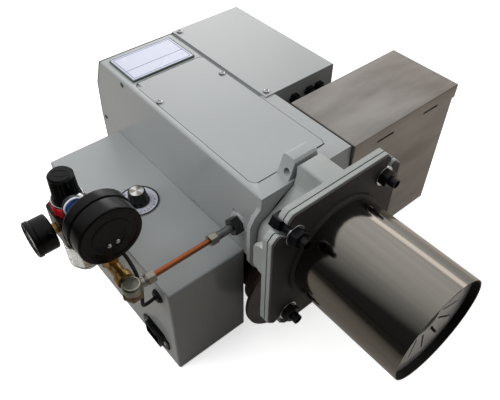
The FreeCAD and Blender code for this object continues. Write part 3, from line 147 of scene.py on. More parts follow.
# Each finish: its dark and light tone, the size of the patches in millimetres, the range of its
# roughness, and the other values of surface(). The real grain of most is finer than 0.2 mm. Apart
# from the clear plastics and the vinyl it is drawn at 0.4 to 1.2 mm, as coarse as it needs to show.
FINISHES = {
    # Stainless pipe, drawn and polished: mirror-like and warm, with lines along its length.
    "polished_stainless_pipe": ("#8B8780", "#9F9B93", 7, (0.1, 0.15), dict(metallic=1.0,
        grain=0.7, bump=0.004, stretch=(1, 60, 1), contrast=0.3)),
    # The pipe's inside, blued and sooted by the flame: dark, with a broken sheen.
    "sooted_stainless": ("#121112", "#2A2726", 9, (0.35, 0.6), dict(metallic=0.7, grain=0.9,
        bump=0.02)),
    # Cold-rolled stainless sheet, ground by hand: cloudy, with fine lines along its length.
    "ground_stainless_sheet": ("#6E6964", "#9A9793", 55, (0.30, 0.44), dict(metallic=1.0,
        grain=0.5, bump=0.010, stretch=(3, 1, 1), contrast=0.17)),
    # Heat-resisting steel, pressed, then dulled by the flame: light grey and matt.
    "heat_resisting_steel": ("#C2C2C2", "#DDDDDC", 10, (0.3, 0.42), dict(metallic=0.55, grain=0.8,
        bump=0.02)),
    # Black oxide on machine steel: near black, with a dull oily sheen.
    "black_oxide_steel": ("#0D0D10", "#1B1B20", 6, (0.28, 0.45), dict(metallic=0.4, grain=0.5,
        bump=0.02)),
    # Bright zinc plate on screws, washers and pins: pale, with small clear highlights.
    "bright_zinc_plate": ("#C4C5CA", "#E2E3E6", 4, (0.12, 0.24), dict(metallic=1.0, grain=0.4,
        bump=0.008)),
    # Passivated zinc on the washer that faces the room: pale and less mirror-like.
    "passivated_zinc": ("#B9BCC0", "#CDCFD2", 6, (0.22, 0.34), dict(metallic=0.25, grain=0.6,
        bump=0.008)),
    # Hot-dipped zinc on the bracket and the stud: dull grey with a faint spangle.
    "dull_zinc_steel": ("#6F716F", "#8C8E8B", 7, (0.35, 0.5), dict(metallic=0.9, grain=0.8,
        bump=0.02)),
    # Pressed graphite sheet of the gaskets: matt, dark, a little brown, with a few paler flakes; on the
    # flange's front face its dark tone is partly painted shade for that face.
    "graphite_sheet_and_shade": ("#3A3736", "#4A4645", 30, (0.55, 0.72), dict(grain=1.1, bump=0.03,
        speck=("#5A5653", 3, 0.74))),
    # Painted shade in the groove beside the cabinet: a flat mid grey strip where the groove's shadow
    # falls.
    "groove_painted_shade": ("#6C7072", "#777B7D", 20, (0.6, 0.75), dict(grain=1.0, bump=0.02)),
    # Black enamel on the fan's pressed steel, worn: rusty brown patches in a soft gloss.
    "worn_black_enamel": ("#120E0C", "#2C1913", 26, (0.32, 0.5), dict(coat=0.2, grain=1.2,
        bump=0.03)),
    # Stove enamel on the rear cover: an even warm black with a satin sheen.
    "black_stove_enamel": ("#171310", "#241D19", 30, (0.3, 0.45), dict(grain=1.2, bump=0.02)),
    # Brushed enamel on the motor's shell: blue-black and satin.
    "motor_enamel": ("#17181C", "#24262B", 20, (0.35, 0.5), dict(grain=1.2, bump=0.03)),
    # Moulded ABS: deep black, with a fine spark-eroded grain and a soft sheen.
    "black_abs": ("#070708", "#0C0C0E", 12, (0.16, 0.24), dict(grain=0.6, bump=0.004,
        Specular_IOR_Level=0.24)),
    # Polished nylon of the knob and the bushing: black, with sharper highlights.
    "gloss_black_nylon": ("#09090A", "#121214", 10, (0.12, 0.2), dict(grain=1.0, bump=0.006)),
    # Moulded rubber: black and matt.
    "black_rubber": ("#0A0A0A", "#151515", 8, (0.5, 0.65), dict(grain=0.6, bump=0.03)),
    # Moulded acetal: strong red, waxy, with a clear highlight.
    "red_acetal": ("#9E1019", "#C4202B", 12, (0.16, 0.26), dict(coat=0.4, grain=1.0, bump=0.01)),
    # Moulded polycarbonate round the inner electrics: mid grey and matt.
    "grey_polycarbonate_case": ("#4A4C50", "#585A5E", 15, (0.4, 0.5), dict(grain=0.6, bump=0.02)),
    # Glass-filled resin, cast round the valve's coil: black, matt, slightly rough.
    "moulded_coil_resin": ("#0F0F11", "#1A1A1D", 10, (0.35, 0.5), dict(grain=0.6, bump=0.03)),
    # Moulded polycarbonate bowl: clear with a grey breath, so the filter shows through.
    "clear_polycarbonate": ("#D6D6D2", "#E8E8E4", 20, (0.04, 0.09), dict(grain=3.0, bump=0.01,
        Transmission_Weight=0.88, IOR=1.58)),
    # Cast acrylic lens: clear and flat, so the dial shows through.
    "clear_acrylic": ("#F4F4F4", "#FFFFFF", 20, (0.02, 0.04), dict(grain=3.0, bump=0.002,
        Transmission_Weight=1.0, IOR=1.49)),
    # Turned brass, bare: warm yellow with a soft sheen from the tool.
    "bare_brass": ("#A5824C", "#CBA566", 8, (0.3, 0.42), dict(metallic=1.0, grain=0.7,
        bump=0.02)),
    # Brass that has tarnished: brown and duller.
    "tarnished_brass": ("#6E5C42", "#8E7A5C", 5, (0.3, 0.45), dict(metallic=1.0, grain=0.8,
        bump=0.03)),
    # Nickel plate over brass: grey with a yellow cast, satin.
    "nickel_plated_brass": ("#8F8C81", "#B0ADA1", 8, (0.25, 0.4), dict(metallic=1.0, grain=0.8,
        bump=0.02)),
    # Drawn copper tube: orange brown, with lines along its length.
    "drawn_copper": ("#8C4527", "#B26A45", 10, (0.24, 0.4), dict(metallic=1.0, grain=0.5,
        bump=0.008, stretch=(10, 1, 1))),
    # Sintered bronze beads: matt golden brown and grainy.
    "sintered_bronze": ("#7B5E35", "#A98856", 1.5, (0.55, 0.7), dict(metallic=0.8, grain=0.6,
        bump=0.12)),
    # Glazed alumina: off-white, with a glassy highlight.
    "glazed_alumina": ("#DED9CC", "#EDE9DF", 10, (0.12, 0.2), dict(coat=0.5, grain=1.0,
        bump=0.004)),
    # Chrome plate: near white and mirror-like.
    "chrome_plate": ("#C9CACD", "#DEDFE1", 8, (0.05, 0.12), dict(metallic=1.0, grain=0.8,
        bump=0.003)),
    # Fired enamel on the dials: cool white with a soft gloss.
    "white_enamel_dial": ("#C9CADA", "#D9DAE6", 14, (0.22, 0.32), dict(coat=0.3, grain=1.2,
        bump=0.004)),
    # Printed vinyl sheet: flat cool white, slightly glossy.
    "white_vinyl_label": ("#CDD1E4", "#CFD3E6", 60, (0.24, 0.3), dict(coat=0.3, grain=4.0,
        bump=0.001)),
    # Pressed laminate under the label: green grey with a matt edge.
    "green_grey_laminate": ("#46544F", "#56645E", 12, (0.4, 0.55), dict(grain=1.0, bump=0.02)),
    # Screen-printed ink of the label's lines: muted blue.
    "blue_ink": ("#303F86", "#3F5096", 10, (0.25, 0.35), dict(grain=1.2, bump=0.004)),
    # Glossy enamel of the valve's badge: strong blue with a sharp highlight.
    "blue_enamel_badge": ("#2450B4", "#3463C8", 8, (0.12, 0.22), dict(coat=0.6, grain=1.2,
        bump=0.004)),
    # Screen-printed ink of marks and numbers: soft black.
    "black_ink": ("#121216", "#1C1C22", 10, (0.3, 0.4), dict(grain=1.0, bump=0.003)),
    # Sprayed lacquer on the pointers: bright red and satin.
    "pointer_lacquer": ("#B8241C", "#C9362B", 8, (0.3, 0.4), dict(grain=1.0, bump=0.002)),
    # Cast aluminium of the fan wheel: pale, open-grained.
    "cast_aluminium": ("#8C8E90", "#A4A6A8", 8, (0.4, 0.55), dict(metallic=1.0, grain=1.0,
        bump=0.05)),
    # Painted shade: black without a sheen, laid where a recess or gap lies unlit, such as a screw's
    # cross or the gap under a cover's edge.
    "shadow_gap": ("#050505", "#0A0A0A", 8, (0.8, 0.9), dict(grain=1.0, bump=0.01)),
}


def make_materials(look):
    """Every finish by its name: those of FINISHES, two in the chosen paint, and the spun cap."""
    made = {name: surface(name, linear(dark), linear(light), patch, rough, **more)
            for name, (dark, light, patch, rough, more) in FINISHES.items()}
    paint = tuple(look.paint)
    # Polyester powder coat, baked on folded sheet: an even light grey with a faint orange peel
    # and a soft gloss that mirrors the sheet beside it.
    name = "polyester_powder_coat"
    made[name] = surface(name, shade(paint, 0.96), shade(paint, 1.04), 140, (0.32, 0.4), coat=0.5,
                         grain=1.8, bump=0.006, Coat_Roughness=0.13)
    # The same paint over a sand casting, a little yellower: a coarser skin under the gloss.
    name = "painted_sand_casting"
    cast = (paint[0] * 0.97, paint[1] * 0.98, paint[2] * 0.95, 1.0)
    made[name] = surface(name, shade(cast, 0.93), shade(cast, 1.05), 45, (0.3, 0.42), coat=0.5,
                         grain=2.4, bump=0.03, Coat_Roughness=0.16)
    made["spun_aluminium"] = spun_aluminium(linear("#8A8379"))
    return made


# Painted highlights: the number of bright rays round the spun cap.
CAP_HIGHLIGHT_RAYS = 3


def spun_aluminium(dark):
    """Aluminium cap turned on a lathe, with painted highlights: bright rays painted into its colour
    about the knob's axis.
    """
    material, tree = empty_material("spun_aluminium")
    shader = add(tree, "ShaderNodeBsdfPrincipled", {"Metallic": 0.7, "Roughness": 0.3})
    add(tree, "ShaderNodeOutputMaterial", {"Surface": shader.outputs[0]})
    place = add(tree, "ShaderNodeTexCoord").outputs["Object"]
    a, b = middle("thermostat_body")[:2] * MM
    local = add(tree, "ShaderNodeVectorMath", {0: place, 1: (a, b, 0.0)}, operation="SUBTRACT")
    angle = add(tree, "ShaderNodeTexGradient", {"Vector": local.outputs[0]},
                gradient_type="RADIAL").outputs[1]
    wave = add(tree, "ShaderNodeMath", {0: angle, 1: 2 * math.pi * CAP_HIGHLIGHT_RAYS}, operation="MULTIPLY")
    ray = add(tree, "ShaderNodeMath", {0: wave.outputs[0]}, operation="SINE").outputs[0]
    share = add(tree, "ShaderNodeMapRange", {"Value": ray, "From Min": -1.0}).outputs[0]
    # Painted highlights: the colour goes from the dark tone to near white along each ray.
    colour = add(tree, "ShaderNodeMix", {0: share, 6: dark, 7: linear("#F4F4F4")},
                 data_type="RGBA").outputs[2]
    tree.links.new(colour, shader.inputs["Base Color"])
    return material


def corners(node):
    """Lowest and highest corner of a frame node, in millimetres."""
    low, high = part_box(node)
    return np.array(low) / MM, np.array(high) / MM


def middle(node):
    """Centre of a frame node's box, in millimetres."""
    low, high = corners(node)
    return (low + high) / 2


def put(name, data):
    """Object for a mesh, curve, lamp or camera, linked to the scene."""
    made = bpy.data.objects.new(name, data)
    bpy.context.scene.collection.objects.link(made)
    return made


def to_object(name, points, faces, angle=35.0):
    """Mesh object from points in millimetres and lists of point numbers: doubled points are
    merged, faces turned outwards, and edges sharper than the angle kept sharp."""
    mesh = bpy.data.meshes.new(name)
    mesh.from_pydata((np.asarray(points, float).reshape(-1, 3) * MM).tolist(), [], faces)
    work = bmesh.new()
    work.from_mesh(mesh)
    bmesh.ops.remove_doubles(work, verts=work.verts, dist=1e-7)
    bmesh.ops.recalc_face_normals(work, faces=work.faces)
    work.to_mesh(mesh)
    work.free()
    mesh.polygons.foreach_set("use_smooth", np.ones(len(mesh.polygons), bool))
    mesh.set_sharp_from_angle(angle=math.radians(angle))
    return put(name, mesh)


def grid_faces(rows, columns, wrap_rows, wrap_columns):
    """Quads of a grid of points, joined round where it closes on itself."""
    i = np.arange(rows if wrap_rows else rows - 1)[:, None]
    j = np.arange(columns if wrap_columns else columns - 1)[None, :]
    k, l = (i + 1) % rows, (j + 1) % columns
    quads = np.stack([i * columns + j, k * columns + j, k * columns + l, i * columns + l], -1)
    return quads.reshape(-1, 4).tolist()


def soften(points, radius, closed, steps=4):
    """Rounds a line's corners: each corner B becomes (1-s)^2 P + 2s(1-s) B + s^2 Q, where P and Q
    lie on its two sides at the radius, or at 0.45 of a side that is too short."""
    p = np.asarray(points, float)
    before = np.roll(p, 1, 0) if closed else p[:-2]
    here = p if closed else p[1:-1]
    after = np.roll(p, -1, 0) if closed else p[2:]
    u, v = before - here, after - here
    lu, lv = np.linalg.norm(u, axis=1), np.linalg.norm(v, axis=1)
    reach = np.minimum(radius, 0.45 * np.minimum(lu, lv))
    first = here + u * (reach / lu)[:, None]
    last = here + v * (reach / lv)[:, None]
    s = np.linspace(0, 1, steps)[None, :, None]
    curve = (1 - s) ** 2 * first[:, None] + 2 * s * (1 - s) * here[:, None] + s ** 2 * last[:, None]
    curve = curve.reshape(-1, p.shape[1])
    return curve if closed else np.vstack([p[:1], curve, p[-1:]])


def lathe(name, axis, centre, profile, radius=0.0, closed=False, turns=72, angle=35.0, flutes=0,
          depth=0.0, crest=4):
    """Turned piece: P(i, t) = centre + a_i axis + (r_i - g(t)) (cos t e1 + sin t e2), where the
    profile gives r and a in millimetres, its corners rounded first. With flutes, g(t) is
    depth w_i (0.5 + 0.5 cos(flutes t))^crest, and a third column of the profile gives w."""
    line = np.asarray(profile, float)
    if line.shape[1] == 2:
        line = np.hstack([line, np.ones((len(line), 1))])
    if radius:
        line = soften(line, radius, closed)
    e1, e2, e3 = AXES[axis]
    t = np.linspace(0, 2 * math.pi, turns, endpoint=False)[None, :, None]
    r, a, w = (line[:, k][:, None, None] for k in range(3))
    groove = depth * w * (0.5 + 0.5 * np.cos(flutes * t)) ** crest if flutes else 0.0
    reach = np.maximum(r - groove, 0.0)
    points = np.asarray(centre, float) + a * e3 + reach * (np.cos(t) * e1 + np.sin(t) * e2)
    return to_object(name, points, grid_faces(len(line), turns, closed, True), angle)


def slab(name, axis, outline, start, end, bevel=0.0, segments=2):
    """Plate: a closed outline, given across the axis as pairs of the other two coordinates in
    X, Y, Z order, carried from start to end, with its edges beveled where a width is given."""
    flat = np.asarray(outline, float)
    slots = ACROSS[axis]
    count = len(flat)
    points = np.zeros((2, count, 3))
    points[:, :, slots[0]] = flat[:, 0]
    points[:, :, slots[1]] = flat[:, 1]
    points[:, :, "xyz".index(axis)] = np.array([[start], [end]])
    faces = grid_faces(2, count, False, True)
    faces += [list(range(count)), list(range(2 * count - 1, count - 1, -1))]
    made = to_object(name, points, faces)
    if bevel:
        round_edges(made, bevel, segments)
    return made


def frame_slab(name, axis, outer, inner, start, end):
    """Flat ring between two outlines with the same number of points, carried from start to end."""
    slots = ACROSS[axis]
    rows = [(outer, start), (outer, end), (inner, end), (inner, start)]
    points = np.zeros((4, len(outer), 3))
    for row, (outline, level) in zip(points, rows):
        row[:, slots[0]] = outline[:, 0]
        row[:, slots[1]] = outline[:, 1]
        row[:, "xyz".index(axis)] = level
    return to_object(name, points, grid_faces(4, len(outer), True, True))


def round_edges(piece, width, segments):
    """Bevels a piece's sharp edges by a width in millimetres."""
    edge = piece.modifiers.new("edge", "BEVEL")
    edge.width = width * MM
    edge.segments = segments
    edge.limit_method = "ANGLE"
    edge.angle_limit = math.radians(EDGE_ANGLE)
    edge.use_clamp_overlap = True
    piece.data.polygons.foreach_set("use_smooth", np.ones(len(piece.data.polygons), bool))
    return piece


def rectangle(a0, a1, b0, b1, radius=0.0):
    """Outline of a rectangle, its corners rounded where a radius is given."""
    outline = np.array([(a0, b0), (a1, b0), (a1, b1), (a0, b1)], float)
    return soften(outline, radius, True, 6) if radius else outline


def circle(a, b, radius, count=48):
    """Outline of a circle: a + radius cos(t) and b + radius sin(t), for t over a full turn."""
    t = np.linspace(0, 2 * math.pi, count, endpoint=False)
    return np.stack([a + radius * np.cos(t), b + radius * np.sin(t)], 1)


def hexagon(a, b, flats, turn=0.0):
    """Outline of a hexagon by its width across flats: six corners, a sixth of a turn apart, at
    flats / sqrt(3) from the middle."""
    t = np.linspace(0, 2 * math.pi, 6, endpoint=False) + math.radians(turn)
    reach = flats / math.sqrt(3)
    return np.stack([a + reach * np.cos(t), b + reach * np.sin(t)], 1)


def dress(piece, body, material, slot, *replaces):
    """Gives a new piece its finish and its body, and hides the frame nodes that it stands for; its slot
    is not used.
    """
    piece.data.materials.clear()
    piece.data.materials.append(FINISH[material])
    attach(piece, body)
    if replaces:
        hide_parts(*replaces)


def keep(**finishes):
    """Leaves frame nodes as they are and gives each its finish."""
    for node, material in finishes.items():
        slots = frame["nodes"][node].data.materials
        slots.clear()
        slots.append(FINISH[material])


def slot_of(node):
    """Material slot that the record gives a frame node."""
    return next(row["material_slot"] for row in frame["record"]["subparts"] if row["node"] == node)


def stand_for(piece, body, material, *nodes):
    """Dresses a piece that replaces frame nodes, passing on the slot of the first of them, which dress
    does not use.
    """
    dress(piece, body, material, slot_of(nodes[0]), *nodes)


def rounded_copy(node, body, material, width, segments=2, seams=()):
    """A frame node's own shape with its sharp edges rounded: doubled points are merged, flat
    triangles joined, and the edges beveled. Faces in a seam, an axis number and a level in
    millimetres where two of its solids meet, go first, so that the skin runs through."""
    mesh = frame["nodes"][node].data.copy()
    mesh.name = node + "_skin"
    work = bmesh.new()
    work.from_mesh(mesh)
    for slot, level in seams:
        inside = [face for face in work.faces
                  if all(abs(vert.co[slot] - level * MM) < 1e-5 for vert in face.verts)]
        bmesh.ops.delete(work, geom=inside, context="FACES")
    bmesh.ops.remove_doubles(work, verts=work.verts, dist=2e-6)
    bmesh.ops.dissolve_limit(work, angle_limit=math.radians(1.0), verts=work.verts,
                             edges=work.edges)
    work.to_mesh(mesh)
    work.free()
    mesh.polygons.foreach_set("use_smooth", np.ones(len(mesh.polygons), bool))
    mesh.set_sharp_from_angle(angle=math.radians(SHARP_ANGLE))
    stand_for(round_edges(put(node + "_skin", mesh), width, segments), body, material, node)


def dome(radius, seat, height, power=0.7, steps=6):
    """Profile of a domed head, from its seat's middle to the rim and up to the crown: r = radius
    cos(t)^power and a = seat + height sin(t), for t up to a quarter turn."""
    t = np.linspace(0, math.pi / 2, steps)
    return np.vstack([(0, seat), np.stack([radius * np.cos(t) ** power,
                                           seat + height * np.sin(t)], 1)])


def screw_head(name, x, y, seat):
    """Domed head standing on a seat of the body; its cross recess is drawn as a black slab of painted
    shade.
    """
    top = seat + SCREW_HEIGHT
    head = lathe(name, "z", (x, y, 0), dome(SCREW_RADIUS, seat, SCREW_HEIGHT, steps=8), turns=32,
                 angle=50.0)
    dress(head, BODY, "bright_zinc_plate", "zinc_steel")
    arm, half = SCREW_RADIUS * 0.5, SCREW_CROSS / 2
    corner = np.array([(arm, half), (half, half), (half, arm)])
    cross = np.vstack([corner, corner[::-1] * (-1, 1), -corner, corner[::-1] * (1, -1)])
    # Painted shade: a black cross laid into the crown where the recess would be unlit.
    cross_shade = slab(name + "_cross_shade", "z", cross + (x, y), top - 0.6, top + 0.02)
    dress(cross_shade, BODY, "shadow_gap", "black_rubber")


SCREW_RADIUS = 4.4
SCREW_HEIGHT = 2.6
SCREW_CROSS = 1.0


def numerals(name, axis, right, up, centre, level, radius, marks, height):
    """Numbers round a dial as one mesh: each is filled text, laid out at P = centre + radius
    (sin a right + cos a up), where marks pairs the words with their angles a, clockwise."""
    points, faces = [], []
    right, up = np.array(right, float), np.array(up, float)
    normal = AXES[axis][2]
    for word, angle in marks:
        curve = bpy.data.curves.new("numeral", "FONT")
        curve.body = word
        curve.align_x = "CENTER"
        curve.align_y = "CENTER"
        curve.size = height
        text = put("numeral", curve)
        solid = text.evaluated_get(bpy.context.evaluated_depsgraph_get()).to_mesh()
        flat = np.zeros(len(solid.vertices) * 3)
        solid.vertices.foreach_get("co", flat)
        flat = flat.reshape(-1, 3)
        a = math.radians(angle)
        middle_point = np.array(centre) + radius * (math.sin(a) * right + math.cos(a) * up)
        start = len(points)
        points += (middle_point + flat[:, :1] * right + flat[:, 1:2] * up + level * normal).tolist()
        faces += [[start + v for v in polygon.vertices] for polygon in solid.polygons]
        bpy.data.objects.remove(text)
        bpy.data.curves.remove(curve)
    return to_object(name, points, faces)


def ticks(name, axis, right, up, centre, level, inner, outer, angles, width, thickness):
    """Marks round a dial as one mesh of thin bars from an inner to an outer radius, standing on
    the dial by a thickness in the axis's direction."""
    right, up = np.array(right, float), np.array(up, float)
    normal = AXES[axis][2]
    a = np.radians(np.asarray(angles, float))[:, None]
    ray = np.sin(a) * right + np.cos(a) * up
    side = (np.cos(a) * right - np.sin(a) * up) * width / 2
    base = np.array(centre, float) + level * normal
    flat = np.stack([base + ray * inner - side, base + ray * outer - side,
                     base + ray * outer + side, base + ray * inner + side], 1)
    points = np.stack([flat, flat + thickness * normal], 1)
    block = np.array([[0, 1, 2, 3], [7, 6, 5, 4], [0, 4, 5, 1], [1, 5, 6, 2], [2, 6, 7, 3],
                      [3, 7, 4, 0]])
    faces = (np.arange(len(a))[:, None, None] * 8 + block).reshape(-1, 4).tolist()
    return to_object(name, points, faces)


CAMERA_LENS = 40.37
CAMERA_PLACE = (-0.2953, -0.2190, 0.4323)
CAMERA_FORWARD = (0.4489, 0.5310, -0.7187)
CAMERA_ROLL = 0.49
SENSOR = 36.0


def turn_to(item, right, up, back, place):
    """Turns an object's axes to three unit directions, and moves it to a place in metres."""
    matrix = np.eye(4)
    matrix[:3] = np.stack([right, up, back, place], 1)
    item.matrix_world = Matrix(matrix.tolist())


def make_camera():
    """Camera at the photograph's place: forward is given, up is Z made square to it, then rolled."""
    forward = np.array(CAMERA_FORWARD) / np.linalg.norm(CAMERA_FORWARD)
    right = np.cross(forward, (0, 0, 1))
    right /= np.linalg.norm(right)
    up = np.cross(right, forward)
    roll = math.radians(CAMERA_ROLL)
    side = math.cos(roll) * right + math.sin(roll) * up
    top = -math.sin(roll) * right + math.cos(roll) * up
    data = bpy.data.cameras.new("camera")
    data.lens = CAMERA_LENS
    data.sensor_width = SENSOR
    data.sensor_fit = "HORIZONTAL"
    data.clip_start = 0.01
    camera = put("camera", data)
    turn_to(camera, side, top, -forward, CAMERA_PLACE)
    bpy.context.scene.camera = camera


def area_light(name, place, target, length, width, power, colour="#FFFFFF", mirrored=False):
    """Soft lamp at a place in metres, turned to a target. Metal shows it where it is mirrored."""
    data = bpy.data.lights.new(name, "AREA")
    data.shape = "RECTANGLE"
    data.size = length
    data.size_y = width
    data.energy = power
    data.color = linear(colour)[:3]
    lamp = put(name, data)
    lamp.visible_glossy = mirrored
    back = np.array(place) - np.array(target)
    back /= np.linalg.norm(back)
    right = np.cross((0, 0, 1), back)
    right /= np.linalg.norm(right)
    turn_to(lamp, right, np.cross(back, right), back, place)


def seen_rays(tree):
    """The light path's outputs, and a value of 1 where the camera looks, also through glass."""
    rays = add(tree, "ShaderNodeLightPath").outputs
    seen = add(tree, "ShaderNodeMath", {0: rays["Is Camera Ray"], 1: rays["Is Transmission Ray"]},
               operation="MAXIMUM")
    return rays, seen.outputs[0]


def make_world(look):
    """Room light that grows from the dim front towards a bright ceiling behind. The camera and
    glass see plain white past the object, and metal mirrors that white towards the window."""
    world = bpy.data.worlds.new("studio")
    world.use_nodes = True
    tree = world.node_tree
    tree.nodes.clear()
    rays, seen = seen_rays(tree)
    way = add(tree, "ShaderNodeTexCoord").outputs["Generated"]
    height = add(tree, "ShaderNodeVectorMath", {0: way, 1: ROOM_BRIGHT_SIDE},
                 operation="DOT_PRODUCT").outputs["Value"]
    level = add(tree, "ShaderNodeMapRange", {"Value": height, "From Min": ROOM_DARK_END,
                                             "To Min": look.room_dark, "To Max": look.room_bright})
    facing = add(tree, "ShaderNodeVectorMath", {0: way, 1: WINDOW_SPOT},
                 operation="DOT_PRODUCT").outputs["Value"]
    glow = add(tree, "ShaderNodeMapRange", {"Value": facing, "From Min": WINDOW_RIM,
                                            "To Max": look.room_glow},
               interpolation_type="SMOOTHSTEP")
    total = add(tree, "ShaderNodeMath", {0: level.outputs[0], 1: glow.outputs[0]}, operation="ADD")
    room = add(tree, "ShaderNodeBackground", {"Color": linear("#FFFFFF"), "Strength": total.outputs[0]})
    white = add(tree, "ShaderNodeBackground", {"Color": linear("#FFFFFF"), "Strength": 1.0})
    window_side = add(tree, "ShaderNodeMapRange", {
        "Value": facing, "From Min": MIRROR_RIM[0], "From Max": MIRROR_RIM[1],
        "To Max": look.mirror_share})
    mirrored = add(tree, "ShaderNodeMath", {0: rays["Is Glossy Ray"], 1: window_side.outputs[0]},
                   operation="MULTIPLY")
    shown = add(tree, "ShaderNodeMath", {0: seen, 1: mirrored.outputs[0]}, operation="MAXIMUM")
    mixed = add(tree, "ShaderNodeMixShader", {0: shown.outputs[0], 1: room.outputs[0],
                                              2: white.outputs[0]})
    add(tree, "ShaderNodeOutputWorld", {"Surface": mixed.outputs[0]})
    bpy.context.scene.world = world


ROOM_BRIGHT_SIDE = (0.48, 0.42, 0.77)
WINDOW_SPOT = (0.50, 0.75, 0.43)
# Cosines to these two directions: where the room's ramp starts, where the window's glow starts,
# and over which range metal begins to mirror the white background.
ROOM_DARK_END = -0.1
WINDOW_RIM = 0.965
MIRROR_RIM = (0.65, 0.97)


def make_floor(height):
    """Pale studio floor: white with the object's soft shadow where it is looked at. Polished
    parts mirror it brighter towards the window, and it throws little light back on the object."""
    material, tree = empty_material("pale_studio_floor")
    rays, seen = seen_rays(tree)
    pale = add(tree, "ShaderNodeBsdfPrincipled", {"Base Color": linear("#F4F4F4"), "Roughness": 0.9,
                                                  "Emission Color": linear("#FFFFFF"),
                                                  "Emission Strength": FLOOR_GLOW})
    plain = add(tree, "ShaderNodeBsdfPrincipled", {"Base Color": linear("#6B6762"), "Roughness": 0.9})
    place = add(tree, "ShaderNodeTexCoord").outputs["Object"]
    across = add(tree, "ShaderNodeVectorMath", {0: place, 1: WINDOW_WAY}, operation="DOT_PRODUCT")
    glare = add(tree, "ShaderNodeMapRange", {
        "Value": across.outputs["Value"], "From Min": GLARE_REACH[0], "From Max": GLARE_REACH[1],
        "To Min": GLARE_SHARE[0], "To Max": GLARE_SHARE[1]})
    tone = add(tree, "ShaderNodeMix", {0: glare.outputs[0], 6: linear("#000000"),
                                       7: linear("#FFF6EC")}, data_type="RGBA").outputs[2]
    mirrored = add(tree, "ShaderNodeBsdfDiffuse", {"Color": tone})
    thrown = add(tree, "ShaderNodeMixShader", {0: rays["Is Glossy Ray"], 1: plain.outputs[0],
                                               2: mirrored.outputs[0]})
    mixed = add(tree, "ShaderNodeMixShader", {0: seen, 1: thrown.outputs[0], 2: pale.outputs[0]})
    add(tree, "ShaderNodeOutputMaterial", {"Surface": mixed.outputs[0]})
    half = FLOOR_SIZE / 2
    floor = slab("studio_floor", "z", rectangle(-half, half, -half, half), height - 10, height)
    floor.data.materials.append(material)


FLOOR_SIZE = 6000.0
FLOOR_GLOW = 0.6
# Way to the window, the metres along it over which the floor's glare grows, and from what to what.
WINDOW_WAY = (0.95, 0.31, 0.0)
GLARE_REACH = (-0.65, 0.4)
GLARE_SHARE = (0.03, 0.8)


def number(label, about, default, least=0.0, **more):
    """Number property with its label, description, default and least value."""
    return bpy.props.FloatProperty(name=label, description=about, default=default, min=least, **more)


class BurnerLook(bpy.types.PropertyGroup):
    """Colours and light of the burner."""
    paint: bpy.props.FloatVectorProperty(
        name="Paint", description="Colour of the powder coat", subtype="COLOR", size=4,
        min=0.0, max=1.0, default=linear("#A3A7A7"))
    room_dark: number("Room, dark side", "Light from the front and below", 0.03, max=2.0)
    room_bright: number("Room, bright side", "Light from above and behind", 0.85, max=2.0)
    room_glow: number("Room, window", "Extra light of the window that the covers mirror", 3.6,
                      max=8.0)
    mirror_share: number("Mirror share", "Share of the white background that metal mirrors", 0.4,
                         max=1.0)
    key_power: number("Key", "Power of the large lamp overhead", 12.5, unit="POWER")
    fill_power: number("Fill", "Power of the lamp on the control box's side", 6.0, unit="POWER")
    strip_power: number("Strip", "Power of the long lamp that the tube mirrors", 4.2, unit="POWER")


class BurnerSizes(bpy.types.PropertyGroup):
    """Sizes of the small parts that the frame doesn't hold."""
    sheet_edge: number("Sheet edge", "Width of the rounding on folded sheet, in millimetres", 1.0, 0.1)
    cast_edge: number("Cast edge", "Width of the rounding on the casting, in millimetres", 1.4, 0.1)
    label_edge: number("Label edge", "Width of the label's bare edge, in millimetres", 1.6, 0.5)
    thread_pitch: number("Thread pitch", "Pitch of the bolts' thread, in millimetres", 1.5, 0.5)
    tube_lip: number("Tube lip", "Rounding of the blast tube's mouth, in millimetres", 0.4, 0.1)


class BURNER_OT_stage(bpy.types.Operator):
    """Makes the camera, the lamps, the world and the floor"""
    bl_idname = "burner.stage"
    bl_label = "Stage"

    def execute(self, context):
        look = context.scene.burner_look
        context.scene.view_settings.view_transform = "Standard"
        make_camera()
        make_world(look)
        make_floor(corners("control_box_base")[0][2] - 1.0)
        area_light("key", (-1.1, 0.55, 1.55), (0.0, 0.1, 0.0), 1.1, 1.1, look.key_power)
        area_light("fill", (-1.3, 0.45, 0.7), (0.0, 0.2, 0.0), 0.8, 0.8, look.fill_power)
        area_light("strip", (1.7, 0.45, 0.85), (0.0, 0.45, 0.0), 3.0, 0.4, look.strip_power,
                   "#FFF3EC", mirrored=True)
        return {"FINISHED"}


class BURNER_OT_flange(bpy.types.Operator):
    """Dresses the flange plates and the casting, and makes the bolts, nuts and washers"""
    bl_idname = "burner.flange"
    bl_label = "Flange"

    def execute(self, context):
        sizes = context.scene.burner_sizes
        rounded_copy("flange_casting", FLANGE, "painted_sand_casting", sizes.cast_edge, 3)
        rounded_copy("mounting_flange", FLANGE, "painted_sand_casting", 0.7)
        lug = lathe("casting_lug", "z", LUG_FOOT, [
            (0, 0), (4.2, 0), (5.0, 1.0), (5.0, 24.0), (4.6, 27.0), (3.0, 29.4), (0, 30.4)],
            0.8, turns=40)
        dress(lug, FLANGE, "painted_sand_casting", slot_of("flange_casting"))
        # The front gasket's dark sheet is partly painted shade for the flange's front face.
        keep(flange_gaskets="graphite_sheet_and_shade", flange_bolts="black_oxide_steel")
        y, z = middle("hinge_pin")[1:]
        left = corners("hinge_pin")[0][0] + PIN_RECESS
        right = corners("hinge_pin")[1][0] - PIN_RECESS
        pin = lathe("hinge_pin_skin", "x", (0, y, z), [
            (0, left), (2.6, left), (3.9, left + 1.2), (3.9, right - 1.2), (2.6, right),
            (0, right)], 0.4, turns=40)
        stand_for(pin, FLANGE, "bright_zinc_plate", "hinge_pin")
        low, high = corners("flange_nuts")
        reach = high[0] - WASHER_RADIUS
        for k, (sx, sz) in enumerate([(-1, -1), (-1, 1), (1, -1), (1, 1)], 1):
            fasten(k, sx * reach, sz * reach, low[1], high[1], sizes.thread_pitch)
        return {"FINISHED"}


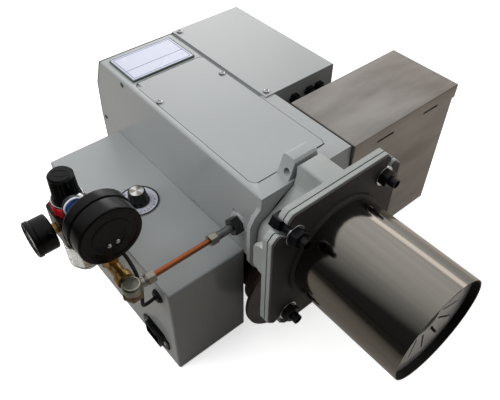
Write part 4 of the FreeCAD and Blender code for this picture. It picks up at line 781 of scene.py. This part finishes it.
def fasten(k, x, z, front, rear, pitch):
    """Washer, nut and threaded bolt end at one slot of the flange."""
    washer = lathe("flange_washer_%d" % k, "y", (x, 0, z), [
        (BOLT_RADIUS, -WASHER_THICKNESS), (WASHER_RADIUS, -WASHER_THICKNESS),
        (WASHER_RADIUS, rear), (BOLT_RADIUS, rear)], 0.3, True, 48)
    stand_for(washer, FLANGE, "bright_zinc_plate", "flange_nuts")
    nut = slab("flange_nut_%d" % k, "y", hexagon(x, z, NUT_FLATS, NUT_TURN), front,
               -WASHER_THICKNESS, 0.9, 3)
    stand_for(nut, FLANGE, "black_oxide_steel", "flange_nuts")
    start = corners("flange_bolts")[0][1]
    profile = [(0, start), (BOLT_RADIUS - 1.0, start), (BOLT_RADIUS, start + 1.0)]
    for turn in range(1, int((front - start) / pitch)):
        a = start + turn * pitch
        profile += [(BOLT_RADIUS, a + 0.2), (BOLT_RADIUS - THREAD_DEPTH, a + 0.5 * pitch)]
    thread = lathe("bolt_thread_%d" % k, "y", (x, 0, z),
                   profile + [(BOLT_RADIUS, front), (0, front)], turns=32)
    dress(thread, FLANGE, "black_oxide_steel", slot_of("flange_bolts"))


PIN_RECESS = 3.0
LUG_FOOT = (-75.4, 27.6, 2.5)
WASHER_RADIUS = 11.0
WASHER_THICKNESS = 1.6
BOLT_RADIUS = 5.0
THREAD_DEPTH = 0.6
NUT_FLATS = 17.0
NUT_TURN = 15.0


class BURNER_OT_firing_head(bpy.types.Operator):
    """Makes the polished blast tube and dresses the head, nozzle and electrodes"""
    bl_idname = "burner.firing_head"
    bl_label = "Firing head"

    def execute(self, context):
        lip = context.scene.burner_sizes.tube_lip
        low, high = corners("blast_tube")
        mouth, end, outer = low[1], high[1], high[2]
        skin, inner, seat = outer - TUBE_SKIN, outer - TUBE_WALL, outer - TUBE_STEP
        waist = corners("tube_seal_ring")[0][1]
        step = waist - TUBE_WALL
        tube = lathe("blast_tube_outside", "y", (0, 0, 0), [
            (skin, mouth), (outer, mouth), (outer, waist), (seat, waist), (seat, end),
            (seat - TUBE_SKIN, end), (seat - TUBE_SKIN, step + TUBE_SKIN),
            (skin, step + TUBE_SKIN)], lip, True, 160)
        stand_for(tube, FLANGE, "polished_stainless_pipe", "blast_tube")
        liner = lathe("blast_tube_inside", "y", (0, 0, 0), [
            (inner, mouth + 0.3), (skin, mouth + 0.3), (skin, step + TUBE_SKIN),
            (seat - TUBE_SKIN, step + TUBE_SKIN), (seat - TUBE_SKIN, end),
            (seat - TUBE_WALL, end), (seat - TUBE_WALL, step), (inner, step)], 0.0, True, 160)
        stand_for(liner, FLANGE, "sooted_stainless", "blast_tube")
        keep(tube_seal_ring="graphite_sheet_and_shade")
        rounded_copy("retention_head", FLANGE, "heat_resisting_steel", 0.3)
        keep(nozzle="bare_brass", nozzle_line="nickel_plated_brass",
             electrode_rods="heat_resisting_steel", electrode_insulators="glazed_alumina")
        return {"FINISHED"}


TUBE_SKIN = 0.6
TUBE_WALL = 1.5
TUBE_STEP = 2.0


class BURNER_OT_housing(bpy.types.Operator):
    """Dresses the housing and its covers, and makes its screws"""
    bl_idname = "burner.housing"
    bl_label = "Housing"

    def execute(self, context):
        edge = context.scene.burner_sizes.cast_edge
        rounded_copy("burner_housing", BODY, "polyester_powder_coat", edge, 3, seams=HOUSING_SEAMS)
        rounded_copy("access_cover", BODY, "polyester_powder_coat", 0.4)
        rounded_copy("rear_cover", BODY, "black_stove_enamel", 0.6)
        keep(ignition_transformer="grey_polycarbonate_case", photocell="black_abs",
             oil_port="nickel_plated_brass")
        side, roof = corners("rear_cover")[0][0], corners("rear_cover")[1][2]
        lid = corners("cabinet_cover")[1][2]
        for k, ((x, y), seat) in enumerate(zip(SCREWS, (roof, roof, lid, lid)), 1):
            screw_head("cover_screw_%d" % k, x, y, seat)
        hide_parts("cover_screws")
        for k, (y, z, radius) in enumerate(SIDE_PLUGS, 1):
            plug = lathe("side_plug_%d" % k, "x", (0, y, z), [
                (0, side - 0.9), (radius - 0.8, side - 0.9), (radius, side - 0.3), (radius, side),
                (0, side)], 0.2, turns=36)
            dress(plug, BODY, "dull_zinc_steel", "zinc_steel")
        # Painted shade: dark strips laid on the roof for the gap's shadow under the access cover's
        # front edge.
        for k, place in enumerate(FRONT_SHADE_STRIPS, 1):
            front_shade = slab("cover_front_shade_%d" % k, "z", rectangle(*place), roof, roof + 0.04)
            dress(front_shade, BODY, "shadow_gap", "black_rubber")
        # Painted shade: a flat grey strip for the shadow in the groove between the access cover and the
        # cabinet.
        groove_shade = slab("cover_groove_shade", "z", rectangle(*GROOVE_PLACE), roof, roof + 0.1)
        dress(groove_shade, BODY, "groove_painted_shade", "black_rubber")
        return {"FINISHED"}


# Planes in which the housing's solids meet, as an axis number and a level.
HOUSING_SEAMS = [(2, 46.6), (1, 60.0), (1, 74.0)]
# Two screws of the access cover, then two of the cabinet.
SCREWS = [(-37.0, 247.0), (53.5, 248.0), (69.0, 359.2), (69.0, 184.3)]
SIDE_PLUGS = [(313.0, 43.8, 3.4), (382.0, -44.0, 3.0)]
# Strips of painted shade on the roof under the access cover's front edge, where the gap's shadow falls,
# and the strip of painted shade in the groove between the covers.
FRONT_SHADE_STRIPS = [(-36.0, 2.0, 75.5, 76.6), (45.0, 56.5, 75.8, 77.4)]
GROOVE_PLACE = (57.6, 61.8, 183.5, 364.0)


class BURNER_OT_label(bpy.types.Operator):
    """Makes the blank warning plate on the access cover"""
    bl_idname = "burner.label"
    bl_label = "Label plate"

    def execute(self, context):
        edge = context.scene.burner_sizes.label_edge
        base = corners("access_cover")[1][2]
        top = base + LABEL_THICKNESS
        face = top + LABEL_SHEET
        plate = slab("label_plate", "z", label_outline(0.0, 1.5), base, top, 0.25)
        dress(plate, BODY, "green_grey_laminate", "black_plastic")
        sheet = slab("label_sheet", "z", label_outline(edge, 1.0), top, face)
        dress(sheet, BODY, "white_vinyl_label", "white_dial")
        inset = edge + LABEL_MARGIN
        border = frame_slab("label_border", "z", label_outline(inset, 1.5),
                            label_outline(inset + LABEL_LINE, 1.2), face, face + LABEL_INK)
        dress(border, BODY, "blue_ink", "black_plastic")
        x0, x1 = LABEL_PLACE[0] + inset + LABEL_LINE, LABEL_PLACE[1] - inset - LABEL_LINE
        divider = slab("label_divider", "z", rectangle(
            x0, x1, LABEL_DIVIDER, LABEL_DIVIDER + LABEL_LINE), face, face + LABEL_INK)
        dress(divider, BODY, "blue_ink", "black_plastic")
        return {"FINISHED"}


def label_outline(inset, radius):
    """The label plate's outline, drawn in by an inset, with rounded corners."""
    x0, x1, y0, y1 = LABEL_PLACE
    return rectangle(x0 + inset, x1 - inset, y0 + inset, y1 - inset, radius)


LABEL_PLACE = (-39.7, 50.0, 299.0, 356.0)
LABEL_THICKNESS = 2.3
LABEL_SHEET = 0.1
LABEL_INK = 0.06
LABEL_MARGIN = 2.0
LABEL_LINE = 0.8
LABEL_DIVIDER = 321.0


class BURNER_OT_cabinet(bpy.types.Operator):
    """Dresses the electrical cabinet and its glands"""
    bl_idname = "burner.cabinet"
    bl_label = "Cabinet"

    def execute(self, context):
        edge = context.scene.burner_sizes.sheet_edge
        rounded_copy("cabinet_cover", BODY, "polyester_powder_coat", edge)
        rounded_copy("cabinet_base", BODY, "polyester_powder_coat", 0.5)
        keep(cable_glands="black_abs", burner_controller="grey_polycarbonate_case")
        return {"FINISHED"}


class BURNER_OT_control_box(bpy.types.Operator):
    """Dresses the control box with its socket, grommet and cable"""
    bl_idname = "burner.control_box"
    bl_label = "Control box"

    def execute(self, context):
        edge = context.scene.burner_sizes.sheet_edge
        rounded_copy("control_box_cover", BODY, "polyester_powder_coat", edge)
        rounded_copy("control_box_base", BODY, "polyester_powder_coat", 0.5)
        rounded_copy("inlet_socket", BODY, "black_abs", 0.4)
        keep(cable_grommet="black_rubber")
        y, z = middle("inlet_socket")[1:]
        face = corners("control_box_cover")[0][0] - SOCKET_PLATE
        for k, side in enumerate((-1, 1), 1):
            screw = lathe("socket_screw_%d" % k, "x", (0, y + side * SOCKET_SCREW, z),
                          dome(2.8, face, -1.4), turns=28)
            dress(screw, BODY, "passivated_zinc", "zinc_steel")
        make_cable()
        return {"FINISHED"}


SOCKET_PLATE = 2.5
SOCKET_SCREW = 20.5
# Route of the signal cable, from the valve to the grommet; its diameter in metres.
CABLE_POINTS = [(-171, 164, 5), (-171, 153, 5), (-166, 140, -5), (-164, 124, -13), (-165, 108, -22),
                (-168, 98, -36), (-171, 97, -53), (-168, 102, -68), (-152.1, 106, -71)]
CABLE_DIAMETER = 0.004


def make_cable():
    """Signal cable: a NURBS line through the route's points with a round section."""
    curve = bpy.data.curves.new("signal_cable_line", "CURVE")
    curve.dimensions = "3D"
    spline = curve.splines.new("NURBS")
    spline.points.add(len(CABLE_POINTS) - 1)
    points = np.hstack([np.array(CABLE_POINTS, float) * MM, np.ones((len(CABLE_POINTS), 1))])
    spline.points.foreach_set("co", points.ravel())
    spline.order_u = 3
    spline.use_endpoint_u = True
    curve.bevel_depth = CABLE_DIAMETER / 2
    curve.bevel_resolution = 6
    curve.resolution_u = 16
    curve.use_fill_caps = True
    cable = put("signal_cable_skin", curve)
    stand_for(cable, BODY, "black_rubber", "signal_cable")


class BURNER_OT_thermostat(bpy.types.Operator):
    """Makes the thermostat's dial and its fluted knob with the spun cap"""
    bl_idname = "burner.thermostat"
    bl_label = "Thermostat"

    def execute(self, context):
        x, y = middle("thermostat_body")[:2]
        face, top = corners("thermostat_body")[1][2], corners("thermostat_knob")[1][2]
        seat = face + KNOB_GAP
        rounded_copy("thermostat_body", BODY, "white_enamel_dial", 0.3)
        outer, inner = [circle(x, y, radius, 96) for radius in DIAL_OUTLINE]
        ring = frame_slab("dial_outline", "z", outer, inner, face, face + 0.15)
        dial = ("z", (1, 0, 0), (0, 1, 0), (x, y, 0))
        scale = ticks("dial_scale", *dial, face, *DIAL_TICKS,
                      DIAL_START + DIAL_STEP * (np.arange(10) + 0.5), 0.9, 0.1)
        marks = [(str(10 * k), DIAL_START + DIAL_STEP * k) for k in range(11)]
        words = numerals("dial_numbers", *dial, face + 0.1, NUMBER_RADIUS, marks, NUMBER_HEIGHT)
        for piece in (ring, scale, words):
            dress(piece, BODY, "black_ink", "black_plastic")
        knob = lathe("knob_skin", "z", (x, y, 0), [
            (0, seat, 0), (13.8, seat, 0), (13.6, seat + 2.2, 0), (13.0, seat + 3.0, 0.6),
            (12.2, seat + 4.4, 1), (10.4, top - 1.4, 1), (10.0, top - 0.4, 0.4), (9.3, top, 0),
            (0, top, 0)], 0.5, turns=180, angle=50.0, flutes=9, depth=1.5, crest=3)
        stand_for(knob, KNOB, "gloss_black_nylon", "thermostat_knob")
        wedge = slab("knob_mark", "z", [(x - 1.5, y + 11.6), (x + 1.5, y + 11.6), (x, y + 17.0)],
                     seat, seat + 1.8, 0.2)
        dress(wedge, KNOB, "gloss_black_nylon", slot_of("thermostat_knob"))
        cap = lathe("knob_cap", "z", (x, y, 0), [
            (0, top + 0.15), (8.1, top + 0.15), (8.5, top), (8.5, top - 0.5), (0, top - 0.5)],
            turns=96)
        dress(cap, KNOB, "spun_aluminium", "turned_aluminium")
        return {"FINISHED"}


KNOB = "thermostat_knob_part"
KNOB_GAP = 0.3
# Radii of the dial's printed outline, of its ticks and of its numbers, and the numbers' height.
DIAL_OUTLINE = (25.0, 22.9)
DIAL_TICKS = (18.2, 20.6)
NUMBER_RADIUS = 19.6
NUMBER_HEIGHT = 4.4
# Angle of the dial's zero and of each next number, clockwise from the rear.
DIAL_START = 122.0
DIAL_STEP = 27.0


class BURNER_OT_air_train(bpy.types.Operator):
    """Dresses the copper line and makes the elbow, the washer and the valve"""
    bl_idname = "burner.air_train"
    bl_label = "Air train"

    def execute(self, context):
        x, y, z = TRAIN_X, middle("tube_nuts")[1], TRAIN_Z
        foot, crown = corners("elbow_fitting")[0][2], corners("elbow_fitting")[1][2]
        base = slab("elbow_foot", "z", hexagon(x, y, 19.5), foot, foot + 6.0, 0.6)
        stand_for(base, BODY, "tarnished_brass", "elbow_fitting")
        barrel = lathe("elbow_barrel", "z", (x, y, 0), [
            (0, foot + 6.0), (9.3, foot + 6.0), (9.75, foot + 6.8), (9.75, crown - 2.2),
            (8.6, crown - 0.5), (7.6, crown), (0, crown)], 0.6, turns=64)
        spigot = lathe("elbow_spigot", "x", (0, y, z), [
            (0, x + 7.5), (5.5, x + 7.5), (5.5, x + 13.0), (4.6, x + 13.6), (5.5, x + 14.2),
            (5.5, x + 15.5), (0, x + 15.5)], 0.2, turns=40)
        outlet = lathe("elbow_outlet", "y", (x, 0, z), [
            (0, y + 7.5), (5.5, y + 7.5), (5.5, y + 11.0), (0, y + 11.0)], 0.2, turns=40)
        for piece in (barrel, spigot, outlet):
            stand_for(piece, BODY, "nickel_plated_brass", "elbow_fitting")
        rounded_copy("tube_nuts", BODY, "nickel_plated_brass", 0.7, 3)
        keep(copper_tube="drawn_copper", bulkhead_stud="dull_zinc_steel")
        rounded_copy("bulkhead_bushing", BODY, "gloss_black_nylon", 0.6, 3)
        left, right = corners("bulkhead_washer")[0][0], corners("bulkhead_washer")[1][0]
        wy, wz = middle("bulkhead_washer")[1:]
        washer = lathe("bulkhead_washer_skin", "x", (0, wy, wz), [
            (5.4, left), (WASHER_REACH, left), (WASHER_REACH, right), (5.4, right)], 0.3, True, 64)
        stand_for(washer, BODY, "passivated_zinc", "bulkhead_washer")
        rounded_copy("brass_tee", BODY, "bare_brass", 0.5, 3)
        make_valve(x, z)
        return {"FINISHED"}


def make_valve(x, z):
    """Solenoid valve: a hexagonal body on the air line, a coil above it with a capped nut, and a
    round badge on a boss at the coil's front."""
    start, end = corners("solenoid_valve")[0][1], corners("solenoid_valve")[1][1]
    body = slab("valve_body", "y", hexagon(x, z, 22.0, 30.0), start, end, 0.8)
    stand_for(body, BODY, "tarnished_brass", "solenoid_valve")
    coil = slab("valve_coil", "y", rectangle(x - 8, x + 13, z + 10, COIL_TOP, 3.0), COIL_FRONT, end,
                0.8, 3)
    bx, bz = x - 6.2, COIL_TOP + 4.6
    front = COIL_FRONT - 2.0
    rim = lathe("badge_rim", "y", (bx, 0, bz), [
        (9.2, front + 0.3), (9.4, front), (10.4, front), (10.7, front + 0.4), (10.7, COIL_FRONT),
        (9.2, COIL_FRONT)], 0.1, True, 64)
    stand_for(rim, BODY, "white_enamel_dial", "solenoid_valve")
    badge = lathe("badge_disc", "y", (bx, 0, bz), [
        (0, front + 0.2), (9.3, front + 0.2), (9.3, front + 1.0), (0, front + 1.0)], turns=64)
    stand_for(badge, BODY, "blue_enamel_badge", "solenoid_valve")
    boss = lathe("badge_boss", "y", (bx, 0, bz), [
        (0, front + 0.9), (10.2, front + 0.9), (10.2, front + 6.0), (8.0, front + 9.0),
        (0, front + 9.0)], 0.6, turns=48)
    for piece in (coil, boss):
        stand_for(piece, BODY, "moulded_coil_resin", "solenoid_valve")
    flat = [(0, 0), (4.0, 0), (4.0, 2.4), (6.0, 2.8), (6.0, 5.2)]
    nut = lathe("coil_nut", "z", (x + 2.6, COIL_FRONT + 5.5, COIL_TOP),
                np.vstack([flat, dome(5.4, 5.6, 3.6, 0.8, 7)[1:]]), turns=40)
    stand_for(nut, BODY, "chrome_plate", "solenoid_valve")


WASHER_REACH = 13.2
TRAIN_X = -180.0
TRAIN_Z = -11.0
COIL_FRONT = 172.0
COIL_TOP = 36.0


class BURNER_OT_regulator(bpy.types.Operator):
    """Dresses the filter-regulator, with the chrome ring and the oval on its knob"""
    bl_idname = "burner.regulator"
    bl_label = "Regulator"

    def execute(self, context):
        x, y = middle("regulator_knob")[:2]
        rounded_copy("regulator_body", BODY, "black_abs", 0.8, 3)
        rounded_copy("regulator_ring", BODY, "red_acetal", 0.7, 3)
        keep(regulator_bowl="clear_polycarbonate", filter_element="sintered_bronze",
             drain_valve="bare_brass")
        rounded_copy("regulator_knob", "regulator_knob_part", "black_abs", 0.5, 3)
        rounded_copy("regulator_bracket", BODY, "dull_zinc_steel", 0.4)
        seat = corners("regulator_ring")[1][2]
        ring = lathe("regulator_chrome_ring", "z", (x, y, 0), [
            (15.7, seat), (17.3, seat), (17.3, seat + 1.6), (16.8, seat + 2.2), (15.7, seat + 2.2)],
            0.3, True, 72)
        dress(ring, BODY, "chrome_plate", "zinc_steel")
        top = corners("regulator_knob")[1][2]
        turn = math.radians(OVAL_TURN)
        spin = np.array([[math.cos(turn), math.sin(turn)], [-math.sin(turn), math.cos(turn)]])
        outer, inner = [circle(0, 0, 1.0, 64) * reach @ spin + (x, y) for reach in OVAL_REACHES]
        oval = frame_slab("knob_oval", "z", outer, inner, top, top + 0.35)
        dress(oval, "regulator_knob_part", "black_abs", slot_of("regulator_knob"))
        return {"FINISHED"}


# Raised oval on the knob: its turn in degrees, and the half axes of its outer and inner line.
OVAL_TURN = -40.0
OVAL_REACHES = ((8.8, 4.9), (8.0, 4.1))


class BURNER_OT_gauges(bpy.types.Operator):
    """Makes the two pressure gauges with their dials, and dresses their lenses and pointers"""
    bl_idname = "burner.gauges"
    bl_label = "Gauges"

    def execute(self, context):
        x, z = middle("large_gauge_lens")[[0, 2]]
        back, front = corners("large_gauge_case")[0][1], corners("large_gauge_case")[1][1]
        # The back with its raised rings, the side, the seam, the bezel and the recess for the dial.
        case = lathe("large_gauge_skin", "y", (x, 0, z), [
            (0, back + 0.5), (13.6, back + 0.5), (14.2, back), (20.0, back), (20.6, back + 0.4),
            (26.4, back + 0.4), (27.0, back), (31.0, back), (32.4, back + 0.6), (32.8, back + 1.8),
            (32.8, back + 17.4), (32.3, back + 17.9), (32.3, back + 18.3), (33.6, back + 18.6),
            (34.0, back + 19.2), (34.0, front - 1.6), (33.4, front - 0.4), (32.2, front),
            (30.4, front), (30.0, front - 0.6), (30.0, front - 8.0), (0, front - 8.0)], 0.25,
            turns=144, angle=28.0)
        stand_for(case, BODY, "black_abs", "large_gauge_case")
        stem = slab("large_gauge_stem", "z", hexagon(TRAIN_X, LARGE_STEM_Y, 12.0, 30.0), 2.0, 9.0, 0.5)
        stand_for(stem, BODY, "bare_brass", "large_gauge_case")
        seat = back + 0.4
        for k, (sx, sz) in enumerate(GAUGE_SCREWS, 1):
            screw = lathe("gauge_screw_%d" % k, "y", (sx, 0, sz),
                          dome(2.4, seat, -1.2, 0.6), turns=28)
            dress(screw, BODY, "bright_zinc_plate", "zinc_steel")
        gauge_dial("large", "y", (-1, 0, 0), (x, 0, z), front - 8.0, 1, 1.4, 29.6)

        y, z = middle("small_gauge_lens")[1:]
        front, back = corners("small_gauge_case")[0][0], SMALL_GAUGE_BACK
        case = lathe("small_gauge_skin", "x", (0, y, z), [
            (0, back), (17.8, back), (19.2, back - 0.5), (19.7, back - 1.8), (19.7, back - 16.8),
            (19.3, back - 17.2), (19.3, back - 17.6), (20.1, back - 17.9), (20.5, back - 18.4),
            (20.5, front + 1.6), (20.0, front + 0.5), (19.0, front), (17.8, front),
            (17.5, front + 0.5), (17.5, front + 7.0), (0, front + 7.0)], 0.25, turns=120, angle=28.0)
        stand_for(case, BODY, "black_abs", "small_gauge_case")
        stem = slab("small_gauge_stem", "x", hexagon(y, z, 11.0, 30.0), back,
                    corners("regulator_body")[0][0], 0.5)
        stand_for(stem, BODY, "bare_brass", "small_gauge_case")
        gauge_dial("small", "x", (0, -1, 0), (0, y, z), front + 7.0, -1, 0.8, 17.2)
        keep(large_gauge_lens="clear_acrylic", small_gauge_lens="clear_acrylic",
             large_pointer="pointer_lacquer", small_pointer="pointer_lacquer")
        return {"FINISHED"}


def gauge_dial(name, axis, right, centre, seat, way, hole, radius):
    """Dial of a pressure gauge, facing along its axis or against it as way says: a plate with a
    hole for the pointer's shaft, and a scale from 0 to 10 with fine and main marks and numbers."""
    face = seat + way * DIAL_PLATE
    plate = lathe(name + "_dial", axis, centre, [
        (hole, seat), (radius, seat), (radius, face), (hole, face)], 0.0, True, 96)
    dress(plate, BODY, "white_enamel_dial", "white_dial")
    dial = (axis, right, (0, 0, 1), centre)
    level = min(face, face + way * GAUGE_MARK)
    fine = ticks(name + "_scale_fine", *dial, level, radius * 0.88, radius * 0.95,
                 GAUGE_START + GAUGE_STEP / 5 * np.arange(51), radius * 0.012, GAUGE_MARK)
    bold = ticks(name + "_scale_main", *dial, level, radius * 0.82, radius * 0.95,
                 GAUGE_START + GAUGE_STEP * np.arange(11), radius * 0.024, GAUGE_MARK)
    marks = [(str(k), GAUGE_START + GAUGE_STEP * k) for k in range(0, 11, 2)]
    words = numerals(name + "_numbers", *dial, level + 0.03, radius * 0.66, marks, radius * 0.17)
    for piece in (fine, bold, words):
        dress(piece, BODY, "black_ink", "black_plastic")


# Thickness of the dial's plate and of the marks on it.
DIAL_PLATE = 0.15
GAUGE_MARK = 0.05
# Angles of a gauge's zero and between its main marks.
GAUGE_START = -135.0
GAUGE_STEP = 27.0
GAUGE_SCREWS = [(-181.6, 28.6), (-172.6, 28.9)]
LARGE_STEM_Y = 130.0
SMALL_GAUGE_BACK = -206.0


class BURNER_OT_tank(bpy.types.Operator):
    """Dresses the stainless day tank, its lid, float and heater"""
    bl_idname = "burner.tank"
    bl_label = "Tank"

    def execute(self, context):
        edge = context.scene.burner_sizes.sheet_edge
        rounded_copy("tank_lid", "tank_lid_part", "ground_stainless_sheet", edge)
        rounded_copy("tank_shell", BODY, "ground_stainless_sheet", 0.5)
        keep(tank_float="grey_polycarbonate_case", tank_heater="heat_resisting_steel")
        return {"FINISHED"}


class BURNER_OT_fan(bpy.types.Operator):
    """Dresses the fan housing, wheel, shutter and motor"""
    bl_idname = "burner.fan"
    bl_label = "Fan"

    def execute(self, context):
        rounded_copy("fan_housing", BODY, "worn_black_enamel", 0.6)
        keep(fan_wheel="cast_aluminium", air_shutter="bright_zinc_plate")
        rounded_copy("motor_housing", BODY, "motor_enamel", 0.6)
        return {"FINISHED"}


class BURNER_PT_panel(bpy.types.Panel):
    """Buttons for the burner's pieces in the 3D view's sidebar"""
    bl_label = "Waste Oil Burner"
    bl_space_type = "VIEW_3D"
    bl_region_type = "UI"
    bl_category = "Burner"

    def draw(self, context):
        layout = self.layout
        for group in (context.scene.burner_look, context.scene.burner_sizes):
            for name in group.bl_rna.properties.keys():
                if name not in ("rna_type", "name"):
                    layout.prop(group, name)
        for operator in OPERATORS:
            layout.operator(operator.bl_idname)


OPERATORS = [BURNER_OT_stage, BURNER_OT_flange, BURNER_OT_firing_head, BURNER_OT_housing,
             BURNER_OT_label, BURNER_OT_cabinet, BURNER_OT_control_box, BURNER_OT_thermostat,
             BURNER_OT_air_train, BURNER_OT_regulator, BURNER_OT_gauges, BURNER_OT_tank,
             BURNER_OT_fan]
CLASSES = [BurnerLook, BurnerSizes] + OPERATORS + [BURNER_PT_panel]


def register():
    """Adds the burner's classes and its two groups of properties."""
    for item in CLASSES:
        bpy.utils.register_class(item)
    bpy.types.Scene.burner_look = bpy.props.PointerProperty(type=BurnerLook)
    bpy.types.Scene.burner_sizes = bpy.props.PointerProperty(type=BurnerSizes)


def unregister():
    """Takes away what register added."""
    del bpy.types.Scene.burner_look
    del bpy.types.Scene.burner_sizes
    for item in reversed(CLASSES):
        bpy.utils.unregister_class(item)


def main():
    """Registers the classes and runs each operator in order."""
    register()
    FINISH.update(make_materials(bpy.context.scene.burner_look))
    bpy.ops.burner.stage()
    bpy.ops.burner.control_box()
    bpy.ops.burner.thermostat()
    bpy.ops.burner.flange()
    bpy.ops.burner.firing_head()
    bpy.ops.burner.housing()
    bpy.ops.burner.label()
    bpy.ops.burner.cabinet()
    bpy.ops.burner.air_train()
    bpy.ops.burner.regulator()
    bpy.ops.burner.gauges()
    bpy.ops.burner.tank()
    bpy.ops.burner.fan()


if __name__ == "__main__":
    main()
